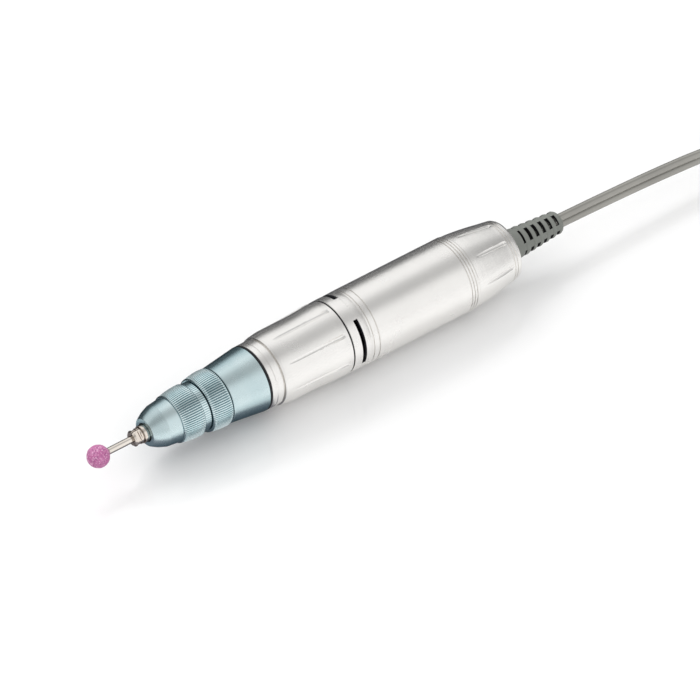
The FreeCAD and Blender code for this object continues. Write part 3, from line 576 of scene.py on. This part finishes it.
def knurl(teeth, depth, start, end, run_out, above=0.0):
    """Carves straight teeth between two places and above a radius; the grooves run out at both ends."""
    def carve(place, radius, degrees):
        share = degrees * teeth / 360 % 1
        inside = min(place - start, end - place)
        if share < 0.45 or inside <= 0 or radius < above:
            return radius
        return radius - depth * min(inside / run_out, 1.0)
    return carve


plug_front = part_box("plug_boot")[0].x / MM
boot_outline = [(0.0, 0.0), (0.0, 3.3), (0.6, 3.9)]
for rib in range(5):
    boot_outline += [(2.0 + 2.1 * rib, 4.05 + 0.2 * rib), (2.3 + 2.1 * rib, 3.55 + 0.2 * rib),
                     (3.3 + 2.1 * rib, 3.6 + 0.2 * rib), (3.6 + 2.1 * rib, 4.15 + 0.2 * rib)]
boot_outline += [(13.5, 5.2), (14.0, 5.15), (14.0, 0.0)]
plug_boot = new_piece("boot", lathe("boot", eased(boot_outline, 0.25), plug_front, PLUG_AXIS),
                      stands_for=("plug_boot",))
boot_finish = new_finish("plug_rubber", (0.105, 0.11, 0.105), (0.085, 0.09, 0.085), 0.5, 0.62, 4200.0,
                         0.00003)
plug_boot.data.materials.append(boot_finish)

body_outline = [(14.02, 0.0), (14.02, 6.0), (15.6, 7.8)]
for rib in range(6):
    body_outline += [(17.6 + 1.8 * rib, 7.8), (17.9 + 1.8 * rib, 7.35), (18.5 + 1.8 * rib, 7.35),
                     (18.8 + 1.8 * rib, 7.8)]
body_outline += [(29.6, 7.8), (30.0, 7.4), (30.0, 5.9), (39.5, 5.9), (39.5, 0.0)]
plug_body = new_piece("plug_housing", lathe("plug_housing", eased(body_outline, 0.3), plug_front,
                                            PLUG_AXIS), stands_for=("plug_body",))
housing_finish = new_finish("plug_moulding", (0.085, 0.09, 0.088), (0.07, 0.075, 0.072), 0.36, 0.5,
                            5200.0, 0.00002)
plug_body.data.materials.append(housing_finish)

ring_outline = [(30.3, 5.95), (30.3, 7.15), (30.65, 7.5), (31.6, 7.53), (34.5, 7.6), (37.5, 7.53),
                (38.45, 7.5), (38.8, 7.15), (38.8, 5.95)]
plug_ring = new_piece("lock_ring", lathe("lock_ring", eased(ring_outline, 0.15), plug_front, PLUG_AXIS,
                                         toothed(PLUG_TEETH), knurl(PLUG_TEETH, 0.3, 30.7, 38.4, 0.5)),
                      "plug_ring", ("plug_lock_ring",))
nickel_finish = new_finish("nickel_plate", (0.66, 0.64, 0.60), (0.58, 0.56, 0.53), 0.16, 0.3, 5200.0,
                           0.000004, 1.0)
plug_ring.data.materials.append(nickel_finish)

shell_outline = [(39.52, 5.3), (39.52, 6.3), (40.5, 6.3), (40.5, 6.0), (48.6, 6.0), (49.0, 5.6),
                 (49.0, 5.3)]
plug_shell = new_piece("contact_shell", lathe("contact_shell", eased(shell_outline, 0.12), plug_front,
                                              PLUG_AXIS), stands_for=("plug_shell",))
plug_shell.data.materials.append(nickel_finish)


def dress(finish, *nodes):
    """Gives CAD nodes a material."""
    for node in nodes:
        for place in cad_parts[node].material_slots:
            place.material = finish


insert_finish = new_finish("plug_insulator", (0.022, 0.022, 0.025), (0.015, 0.015, 0.017), 0.32, 0.45,
                           4000.0, 0.00001)
dress(insert_finish, "plug_insert")
gold_finish = new_finish("contact_gold", (0.83, 0.58, 0.22), (0.76, 0.52, 0.2), 0.18, 0.3, 6000.0,
                         0.000003, 1.0)
dress(gold_finish, "plug_pins")


# ---- Grinding stone ----
# Ball of pink corundum grit in a ceramic bond, moulded and fired on its shank of polished steel. The
# shank is gripped by the collet, and stone and shank are pulled out together.
STONE_R = 3.9
GRIT = 0.42                 # size of a grain


def add_grit(material, scale, pale, deep):
    """Strews pale and deep grains over a material's colour."""
    nodes = material.node_tree.nodes
    links = material.node_tree.links
    shader = nodes["Principled BSDF"]
    place = nodes.new("ShaderNodeTexCoord")
    grains = nodes.new("ShaderNodeTexVoronoi")
    grains.inputs["Scale"].default_value = scale
    links.new(place.outputs["Object"], grains.inputs["Vector"])
    pick = nodes.new("ShaderNodeSeparateColor")
    links.new(grains.outputs["Color"], pick.inputs[0])
    colour = shader.inputs["Base Color"].links[0].from_socket
    for channel, tone, share in ((0, pale, 0.62), (1, deep, 0.72)):
        strength = map_range(material.node_tree, pick.outputs[channel], share, 1.0)
        mix = nodes.new("ShaderNodeMixRGB")
        mix.inputs["Color2"].default_value = (*tone, 1.0)
        links.new(strength.outputs[0], mix.inputs[0])
        links.new(colour, mix.inputs["Color1"])
        colour = mix.outputs[0]
    links.new(colour, shader.inputs["Base Color"])


def stone_mesh():
    """Ball whose skin is broken up into grains."""
    ball = bmesh.new()
    bmesh.ops.create_icosphere(ball, subdivisions=6, radius=1.0)
    middle = (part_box("stone_head")[0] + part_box("stone_head")[1]) / 2
    for vertex in ball.verts:
        way = vertex.co.normalized()
        place = way * (STONE_R / GRIT)
        near, points = noise.voronoi(place)
        grain_size = 0.5 + 0.5 * noise.noise(points[0] * 3.1)
        height = (min((near[1] - near[0]) * 1.6, 1.0) - 0.6) * 0.09 * grain_size
        height += 0.05 * noise.noise(way * 3.0) - 0.045
        vertex.co = middle + way * (STONE_R + height) * MM
    mesh = bpy.data.meshes.new("grinding_ball")
    ball.to_mesh(mesh)
    ball.free()
    mesh.polygons.foreach_set("use_smooth", [True] * len(mesh.polygons))
    return mesh


grinding_ball = new_piece("grinding_ball", stone_mesh(), "tool", ("stone_head",))
stone_finish = new_finish("pink_corundum", (0.58, 0.19, 0.40), (0.50, 0.14, 0.33), 0.6, 0.75, 5200.0,
                          0.00005, drift_scale=380.0)
add_grit(stone_finish, 2700.0, (0.78, 0.44, 0.64), (0.33, 0.10, 0.24))
grinding_ball.data.materials.append(stone_finish)


def tint_where(material, mask, tint):
    """Multiplies a material's colour by a tint where a mask is high."""
    nodes = material.node_tree.nodes
    links = material.node_tree.links
    shader = nodes["Principled BSDF"]
    mix = nodes.new("ShaderNodeMixRGB")
    mix.blend_type = "MULTIPLY"
    mix.inputs["Color2"].default_value = (*tint, 1.0)
    links.new(mask, mix.inputs[0])
    links.new(shader.inputs["Base Color"].links[0].from_socket, mix.inputs["Color1"])
    links.new(mix.outputs[0], shader.inputs["Base Color"])


def paint_edge_shade(material, tint):
    """Deepens a colour where it is seen at a low angle: painted shade that stands in for the dark
    reflections along an outline.
    """
    slant = material.node_tree.nodes.new("ShaderNodeLayerWeight")
    slant.inputs["Blend"].default_value = 0.5
    depth = map_range(material.node_tree, slant.outputs["Facing"], 0.24, 0.75)
    tint_where(material, depth.outputs[0], tint)


SHANK_LENGTH = 40.7
SHANK_R = 1.175
shank_outline = [(0.0, 0.0), (0.0, 1.0), (5.3, 1.0), (5.45, SHANK_R), (SHANK_LENGTH - 0.3, SHANK_R),
                 (SHANK_LENGTH, 0.875), (SHANK_LENGTH, 0.0)]
shank_finish = new_finish("polished_steel", (0.90, 0.84, 0.77), (0.84, 0.78, 0.71), 0.10, 0.2, 7000.0,
                          0.000002, 1.0)
# Painted shade along the shank's outline.
paint_edge_shade(shank_finish, (0.12, 0.10, 0.09))
turned_piece("shank", eased(shank_outline, 0.08), "stone_shank", "polished_steel", shank_finish, "tool")


# ---- Chuck and spindle ----
# Spring collet, draw bar and hollow spindle of ground tool steel, turned and slotted. The spindle runs
# in two ball bearings and the collet spring keeps the chuck shut.
collet_finish = new_finish("chuck_steel", (0.84, 0.765, 0.69), (0.76, 0.69, 0.625), 0.11, 0.2, 6000.0,
                           0.000003, 1.0)
# Painted shade along the outlines of the chuck parts.
paint_edge_shade(collet_finish, (0.20, 0.165, 0.14))
dress(collet_finish, "collet", "draw_bar", "thrust_collar", "spindle", "spindle_nut", "spindle_dog",
      "release_slider", "motor_dog")
race_finish = new_finish("bearing_steel", (0.66, 0.66, 0.67), (0.60, 0.60, 0.61), 0.10, 0.2, 8000.0,
                         0.000002, 1.0)
dress(race_finish, "cross_pin", "release_pins", "motor_shaft", "spindle_bearing_outers",
      "spindle_bearing_inners", "spindle_bearing_balls", "motor_bearing_outers", "motor_bearing_inners",
      "motor_bearing_balls")
spring_finish = new_finish("spring_steel", (0.22, 0.22, 0.235), (0.17, 0.17, 0.18), 0.3, 0.45, 5000.0,
                           0.00001, 1.0)


def coil(node, body, turns, wire_r, mean_r, axis):
    """Helical compression spring in a node's place."""
    low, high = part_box(node)
    middle = (low + high) / 2
    way = Vector(axis)
    length = abs((high - low).dot(way)) - 2 * wire_r
    side = Vector((0.0, 1.0, 0.0))
    lift = way.cross(side)
    steps = 20 * turns
    count = 10
    vertices = []
    for step in range(steps + 1):
        share = step / steps
        rise = min(max((share * turns - 0.9) / (turns - 1.8), 0.0), 1.0)
        angle = 2 * math.pi * turns * share
        out = side * math.cos(angle) + lift * math.sin(angle)
        place = middle + way * (length * (rise - 0.5)) + out * mean_r
        for k in range(count):
            turned = 2 * math.pi * k / count
            vertices.append(place + (out * math.cos(turned) + way * math.sin(turned)) * wire_r)
    spring = new_piece(node + "_coil", swept(node + "_coil", vertices, count), body,
                       (node,))
    spring.data.materials.append(spring_finish)
    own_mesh(spring)


coil("collet_spring", "spindle", 11, 0.36 * MM, 1.78 * MM, (1, 0, 0))
for side_name, fixed_end in (("upper", 1), ("lower", -1)):
    coil(side_name + "_brush_spring", "handpiece", 6, 0.16 * MM, 1.15 * MM,
         (0, 0, 1))


# ---- Blue front shells ----
# Nose cone, knurled nose ring with its skirt, release ring and taper sleeve: aluminium, turned, knurled,
# blasted and anodised pale blue. They screw onto the inner housing; only the release ring turns.
BLUE_LIGHT = (0.66, 0.79, 0.81)
BLUE_DARK = (0.60, 0.74, 0.765)
KNURL_LIGHT = (0.76, 0.87, 0.885)
# Tint of the painted shade in the knurls' grooves.
GROOVE_SHADE = (0.50, 0.60, 0.63)
NOSE_TEETH = 72
RELEASE_TEETH = 80
KNURL_DEPTH = 0.38
KNURL_START = 0.35
KNURL_RUN_OUT = 0.5

blue_finish = new_finish("blue_anodised", BLUE_LIGHT, BLUE_DARK, 0.26, 0.285, 5200.0, 0.000012, 1.0,
                         drift_scale=120.0)
# Painted shade along the outlines of the blue shells.
paint_edge_shade(blue_finish, (0.20, 0.36, 0.42))


def shade_grooves(material, teeth):
    """Deepens a colour in the grooves of a straight knurl about the spindle's axis: painted shade."""
    nodes = material.node_tree.nodes
    links = material.node_tree.links

    def step(operation, first, second=None):
        node = nodes.new("ShaderNodeMath")
        node.operation = operation
        for socket, value in ((node.inputs[0], first), (node.inputs[1], second)):
            if isinstance(value, bpy.types.NodeSocket):
                links.new(value, socket)
            elif value is not None:
                socket.default_value = value
        return node.outputs[0]

    place = nodes.new("ShaderNodeTexCoord")
    parts = nodes.new("ShaderNodeSeparateXYZ")
    links.new(place.outputs["Object"], parts.inputs[0])
    angle = step("ARCTAN2", step("MULTIPLY", parts.outputs["Y"], -1.0),
                 step("SUBTRACT", parts.outputs["Z"], SPINDLE_Z * MM))
    share = step("FRACT", step("MULTIPLY", angle, teeth / (2 * math.pi)))
    from_groove = step("ABSOLUTE", step("SUBTRACT", share, 0.67))
    tint_where(material, map_range(material.node_tree, from_groove, 0.30, 0.15).outputs[0], GROOVE_SHADE)


def knurl_finish(name, teeth):
    """Blue finish of a knurled ring, paler on its teeth than in its grooves: grooves and outline get
    painted shade.
    """
    finish = new_finish(name, KNURL_LIGHT, BLUE_LIGHT, 0.2, 0.26, 6500.0, 0.000006, 1.0,
                        drift_scale=160.0)
    paint_edge_shade(finish, (0.36, 0.52, 0.58))
    shade_grooves(finish, teeth)
    return finish


nose_outline = [(2.4, 3.4), (0.0, 3.4), (0.0, 4.6), (0.08, 4.87), (0.3, 5.1), (1.2, 5.63), (2.4, 6.3),
                (3.8, 6.86), (5.2, 7.32), (5.26, 7.38), (7.4, 7.63), (9.8, 7.9), (10.0, 7.72),
                (10.0, 5.82), (5.0, 5.82), (5.0, 4.6), (2.4, 4.6)]
turned_piece("nose", nose_outline, "nose_cone", "blue_anodised", blue_finish, sharp=20.0)

front_ring_outline = [(0.0, 7.02), (0.0, 8.0), (0.3, 8.38), (1.6, 8.62), (3.0, 8.86), (4.6, 9.06),
                      (6.3, 9.17), (8.0, 9.2), (8.3, 9.0), (8.32, 8.75), (10.7, 8.75), (10.9, 8.6),
                      (10.9, 7.02)]
turned_piece("nose_ring", eased(front_ring_outline, 0.08), "front_knurl_ring", "blue_anodised",
             knurl_finish("blue_knurl", NOSE_TEETH), angles=toothed(NOSE_TEETH),
             carve=knurl(NOSE_TEETH, KNURL_DEPTH, KNURL_START, 7.95, KNURL_RUN_OUT))

release_outline = [(1.2, 8.75), (1.2, 7.05), (0.0, 7.05), (0.0, 9.15), (0.3, 9.5), (1.4, 9.72),
                   (2.7, 9.95), (3.9, 10.1), (5.1, 10.2), (6.4, 10.18), (7.45, 10.1), (7.75, 9.8),
                   (7.75, 7.05), (6.6, 7.05), (6.6, 8.75)]
turned_piece("release_grip", eased(release_outline, 0.1), "release_ring", "blue_anodised",
             knurl_finish("blue_release_knurl", RELEASE_TEETH), "release_ring",
             angles=toothed(RELEASE_TEETH),
             carve=knurl(RELEASE_TEETH, KNURL_DEPTH, KNURL_START, 7.4, KNURL_RUN_OUT, above=9.0))

sleeve_outline = [(0.0, 8.52), (0.0, 9.8), (0.18, 10.0), (13.6, 11.58), (13.85, 11.35), (13.85, 8.52)]
turned_piece("sleeve", eased(sleeve_outline, 0.12), "taper_sleeve", "blue_anodised", blue_finish)

housing_metal = new_finish("turned_aluminium", (0.50, 0.51, 0.53), (0.43, 0.44, 0.46), 0.26, 0.4,
                           4000.0, 0.00001, 1.0)
dress(housing_metal, "head_housing", "motor_front_plate", "motor_rear_plate")
felt_finish = new_finish("felt_seal", (0.12, 0.115, 0.105), (0.08, 0.077, 0.07), 0.85, 0.95, 3500.0,
                         0.0001)
dress(felt_finish, "nose_seal")


# ---- Grip ----
# Silver aluminium grip, turned to a waist, milled with eight flutes, blasted and clear anodised. A black
# gasket closes it against the sleeve and a black seam ring against the vent ring.
FLUTES = 8
FLUTE_STEP = 360 / FLUTES
GRIP_FLUTE_ANGLE = 4.5


def fluted(start, start_floor, end, end_floor, first_angle, cutter):
    """Carves ball-nosed flutes from one place to another."""
    def carve(place, radius, degrees):
        if radius < end_floor - 1.0 or not start < place < end:
            return radius
        off = math.radians((degrees - first_angle + FLUTE_STEP / 2) % FLUTE_STEP - FLUTE_STEP / 2)
        share = min((place - start) / (end - cutter - start), 1.0)
        centre = start_floor + (end_floor - start_floor) * share + cutter
        past = max(place - (end - cutter), 0.0)
        room = cutter ** 2 - past ** 2 - (centre * math.sin(off)) ** 2
        if room <= 0 or abs(off) > 0.2:
            return radius
        return min(radius, centre * math.cos(off) - math.sqrt(room))
    return carve


def flute_angles(first_angle, reach, step):
    """Angles round the circle, close together near the flutes."""
    close = int(reach / step)
    angles = []
    for flute in range(FLUTES):
        middle = first_angle + FLUTE_STEP * flute
        angles += [middle + step * k for k in range(-close, close + 1)]
        gap = FLUTE_STEP - 2 * close * step
        angles += [middle + close * step + gap * k / 10 for k in range(1, 10)]
    return angles


def subdivided(outline, step):
    """Outline with its long edges cut into short ones."""
    points = []
    for here, after in zip(outline, outline[1:]):
        cuts = max(int(math.dist(here, after) / step), 1)
        points += [(here[0] + (after[0] - here[0]) * k / cuts, here[1] + (after[1] - here[1]) * k / cuts)
                   for k in range(cuts)]
    return points + [outline[-1]]


grip_outline = [(28.4, 10.32), (0.0, 10.32), (0.0, 11.35), (0.2, 11.55), (1.9, 11.6), (2.05, 11.42),
                (2.2, 11.6), (4.5, 11.65), (4.5, 11.1), (4.9, 11.1), (5.1, 12.05), (6.0, 12.26),
                (7.2, 12.43), (8.6, 12.58), (10.2, 12.67), (11.5, 12.7), (14.5, 12.72), (18.0, 12.74),
                (20.2, 12.8), (22.5, 12.9), (25.5, 13.08), (28.85, 13.25), (30.05, 13.28),
                (32.3, 13.2), (32.45, 13.05), (32.45, 12.02), (28.4, 12.02)]
silver_finish = new_finish("silver_satin", (0.95, 0.935, 0.91), (0.925, 0.91, 0.887), 0.25, 0.28, 4800.0,
                           0.000014, 1.0, drift_scale=70.0)
turned_piece("grip", subdivided(eased(grip_outline, 0.07), 0.35), "front_grip", "silver_satin",
             silver_finish, angles=flute_angles(GRIP_FLUTE_ANGLE, 4.2, 0.42),
             carve=fluted(8.3, 12.5, 30.9, 12.6, GRIP_FLUTE_ANGLE, 0.8))
rubber_finish = new_finish("black_rubber", (0.012, 0.012, 0.014), (0.008, 0.008, 0.009), 0.5, 0.65,
                           3000.0, 0.00002)
gasket_outline = [(-0.2, 10.35), (-0.2, 11.45), (-0.05, 11.56), (0.4, 11.56), (0.5, 11.45), (0.5, 10.35)]
turned_piece("gasket", gasket_outline, "sleeve_gasket", "black_rubber", rubber_finish)
dress(rubber_finish, "seam_ring")


# ---- Vent ring ----
# Silver ring between grip and barrel, turned, with three milled slots for the cooling air. It screws
# into the grip.
VENT_FRONT = 1.8
VENT_FLOOR_R = 13.0         # inside this radius the ring's walls and bore get painted shade


def pierced(name, outer, inner, front, angles, windows):
    """Tube whose skins have the same rows; a window is first row, last row, first and last column."""
    rows = len(outer)
    columns = len(angles)
    vertices = []
    for degrees in angles:
        out = spoke(degrees)
        for place, radius in outer + inner:
            vertices.append((Vector((front + place, 0.0, SPINDLE_Z)) + out * radius) * MM)

    def corner(column, row, skin):
        return (column % columns * 2 + skin) * rows + row

    cells = {(row, column % columns) for first_row, last_row, first_column, last_column in windows
             for row in range(first_row, last_row) for column in range(first_column, last_column)}
    faces = []
    for column in range(columns):
        after = column + 1
        for row in (0, rows - 1):
            faces.append((corner(column, row, 0), corner(after, row, 0), corner(after, row, 1),
                          corner(column, row, 1)))
        for row in range(rows - 1):
            if (row, column) not in cells:
                for skin in (0, 1):
                    faces.append((corner(column, row, skin), corner(column, row + 1, skin),
                                  corner(after, row + 1, skin), corner(after, row, skin)))
                continue
            for edge, beyond in ((row, row - 1), (row + 1, row + 1)):
                if (beyond, column) not in cells:
                    faces.append((corner(column, edge, 0), corner(after, edge, 0),
                                  corner(after, edge, 1), corner(column, edge, 1)))
            for edge, beyond in ((column, column - 1), (after, after)):
                if (row, beyond % columns) not in cells:
                    faces.append((corner(edge, row, 0), corner(edge, row + 1, 0),
                                  corner(edge, row + 1, 1), corner(edge, row, 1)))
    return smooth_mesh(name, vertices, faces)


vent_outer = [(-4.3, 12.0), (-0.1, 12.0), (0.0, 12.02), (0.0, 13.08), (0.17, 13.25), (3.06, 13.25),
              (3.1, 13.18), (4.7, 13.18), (4.74, 13.25), (6.6, 13.25), (6.9, 13.18), (7.0, 12.95)]
vent_inner = [(-4.3, 11.0), (-2.5, 11.0), (-1.0, 11.0), (0.5, 11.0), (2.0, 11.0), (2.05, 12.02),
              (3.1, 12.02), (4.7, 12.02), (5.2, 12.02), (6.0, 12.02), (6.6, 12.02), (7.0, 12.02)]
vent_windows = [(6, 7, first, first + 37) for first in (18, 78, 138)]
vents = new_piece("vents", pierced("vents", vent_outer, vent_inner, VENT_FRONT,
                                   [2 * k for k in range(180)], vent_windows),
                  stands_for=("vent_ring",))
vents.data.materials.append(silver_finish)


def shade_openings(piece, finish, depth_below):
    """Paints shade into the walls of a pierced tube's openings, and into its bore, with a finish of
    their own.
    """
    piece.data.materials.append(finish)
    for face in piece.data.polygons:
        middle = face.center / MM
        if math.hypot(middle.y, middle.z - SPINDLE_Z) < depth_below(middle.x):
            face.material_index = 1


# Near-black finish: painted shade for the vent ring's slot walls and bore.
shade_finish = new_finish("unlit_metal", (0.03, 0.03, 0.035), (0.02, 0.02, 0.025), 0.5, 0.6, 3000.0,
                          0.00001)
shade_openings(vents, shade_finish, lambda x: VENT_FLOOR_R)


# ---- Motor ----
# Brushed direct-current motor: plated can, ferrite magnets, sheet-steel armature with enamelled copper
# coils, copper commutator, carbon brushes in a moulded card, plastic fan and a small terminal board.
MOTOR_FINISHES = [
    ("can_steel", ("motor_can",), (0.33, 0.33, 0.35), (0.27, 0.27, 0.29), 0.25, 0.4, 1.0),
    ("ferrite", ("magnets",), (0.035, 0.035, 0.04), (0.025, 0.025, 0.028), 0.55, 0.7, 0.0),
    ("armature_sheets", ("armature_core",), (0.20, 0.205, 0.22), (0.14, 0.145, 0.155), 0.35, 0.5, 1.0),
    ("enamelled_copper", ("windings",), (0.60, 0.20, 0.07), (0.50, 0.15, 0.05), 0.2, 0.35, 1.0),
    ("commutator_copper", ("commutator",), (0.68, 0.32, 0.16), (0.50, 0.22, 0.12), 0.25, 0.4, 1.0),
    ("fan_plastic", ("cooling_fan",), (0.022, 0.022, 0.024), (0.016, 0.016, 0.018), 0.4, 0.55, 0.0),
    ("card_plastic", ("brush_card",), (0.11, 0.055, 0.03), (0.085, 0.042, 0.024), 0.4, 0.55, 0.0),
    ("carbon", ("upper_brush", "lower_brush"), (0.012, 0.012, 0.012), (0.008, 0.008, 0.008), 0.45, 0.6,
     0.0),
    ("plated_screw", ("plate_screws",), (0.46, 0.46, 0.48), (0.38, 0.38, 0.40), 0.25, 0.4, 1.0),
    ("board_laminate", ("terminal_board",), (0.02, 0.10, 0.04), (0.015, 0.08, 0.03), 0.25, 0.4, 0.0),
    ("wire_insulation", ("lead_wires",), (0.30, 0.02, 0.015), (0.24, 0.016, 0.012), 0.35, 0.5, 0.0),
]
for finish_name, finished_nodes, light, dark, clean, touched, metal in MOTOR_FINISHES:
    motor_finish = new_finish(finish_name, light, dark, clean, touched, 3500.0, 0.00001, metal)
    dress(motor_finish, *finished_nodes)


# ---- Barrel ----
# Silver aluminium tube round the motor, turned with five fine lines, blasted and clear anodised. It
# is screwed to the vent ring in front and to the cap behind.
BARREL_R = 13.3
barrel_outline = [(0.0, 12.0), (0.0, 13.05), (0.2, BARREL_R)]
for line_place in (0.9, 3.2, 42.1, 43.2, 44.3):
    barrel_outline += [(line_place - 0.17, BARREL_R), (line_place - 0.13, 12.85),
                       (line_place + 0.13, 12.85), (line_place + 0.17, BARREL_R)]
barrel_outline += [(45.2, BARREL_R), (45.4, 13.1), (45.4, 12.4), (40.7, 12.4), (40.7, 12.0)]
turned_piece("barrel", eased(barrel_outline, 0.04), "motor_barrel", "silver_satin", silver_finish,
             sharp=30.0)


# ---- Rear cap ----
# Silver aluminium cap: turned with a rim and two lines, milled with eight flutes, blasted and clear
# anodised. It screws into the barrel and holds the strain relief's flange.
CAP_FRONT = 54.2
CAP_FLUTE_ANGLE = -10.0
cap_outline = [(-4.6, 11.15), (-4.6, 12.38), (0.05, 12.38), (0.05, 12.9), (0.25, 13.1), (2.0, 13.03),
               (4.0, 12.88), (6.1, 12.66), (8.5, 12.38), (11.0, 12.03), (13.5, 11.63), (15.5, 11.28),
               (16.64, 11.12), (16.68, 10.7), (16.92, 10.7), (16.96, 11.1), (17.84, 10.95),
               (17.88, 10.5), (18.12, 10.5), (18.16, 10.9), (19.3, 10.72), (19.95, 10.35), (20.3, 9.8),
               (20.4, 9.2), (20.4, 6.02), (17.7, 6.02), (17.7, 9.25), (15.1, 9.25), (2.1, 11.15)]
cap = new_piece("cap", lathe("cap", subdivided(eased(cap_outline, 0.07), 0.35), CAP_FRONT,
                             angles=flute_angles(CAP_FLUTE_ANGLE, 4.8, 0.48),
                             carve=fluted(3.0, 12.9, 16.3, 10.8, CAP_FLUTE_ANGLE, 0.9)),
                stands_for=("rear_cap",))
cap.data.materials.append(silver_finish)


# ---- Strain relief ----
# Grey rubber moulding: a flange inside the cap, a flared root and a taper with four rows of six slots.
RELIEF_FRONT = 69.7
RELIEF_BORE_R = 2.9
RELIEF_ROWS = 6
RELIEF_PITCH = 2.94
TAPER_START = 8.9
TAPER = 0.0745              # fall of the radius with the place
relief_outer = [(0.0, 3.2), (0.0, 7.6), (2.15, 7.6), (2.2, 6.0), (4.9, 6.0), (4.93, 6.85), (5.5, 6.8),
                (6.1, 6.25), (6.8, 5.8), (7.7, 5.52), (8.9, 5.38)]
for slot_number in range(RELIEF_ROWS):
    slot_middle = 10.7 + RELIEF_PITCH * slot_number
    half = 0.4 if slot_number == 0 else 0.66
    taper = 5.3 - TAPER * (slot_middle - TAPER_START)
    relief_outer += [(slot_middle - half - 0.12, taper + 0.02), (slot_middle - half, taper - 0.1),
                     (slot_middle + half, taper - 0.14), (slot_middle + half + 0.12, taper - 0.04),
                     (slot_middle + RELIEF_PITCH / 2, taper + 0.03)]
relief_outer += [(26.9, 3.95), (27.5, 3.78), (27.85, 3.45), (27.9, 3.0)]
relief_inner = [(1.0 * number if number < 10 else place, RELIEF_BORE_R)
                for number, (place, _) in enumerate(relief_outer)]
relief_windows = [(12 + 5 * slot_number, 13 + 5 * slot_number, 1 + 45 * quarter, 30 + 45 * quarter)
                  for slot_number in range(RELIEF_ROWS) for quarter in range(4)]
relief = new_piece("relief", pierced("relief", relief_outer, relief_inner, RELIEF_FRONT,
                                     [1 + 2 * k for k in range(180)], relief_windows),
                   stands_for=("strain_relief",))
relief_finish = new_finish("relief_rubber", (0.215, 0.225, 0.205), (0.185, 0.195, 0.178), 0.5, 0.62,
                           3800.0, 0.000025)
relief.data.materials.append(relief_finish)
# The relief's slot walls and bore take the black rubber finish: painted shade in the grey rubber.
shade_openings(relief, rubber_finish, lambda x: 4.95 - TAPER * (x - RELIEF_FRONT - TAPER_START))
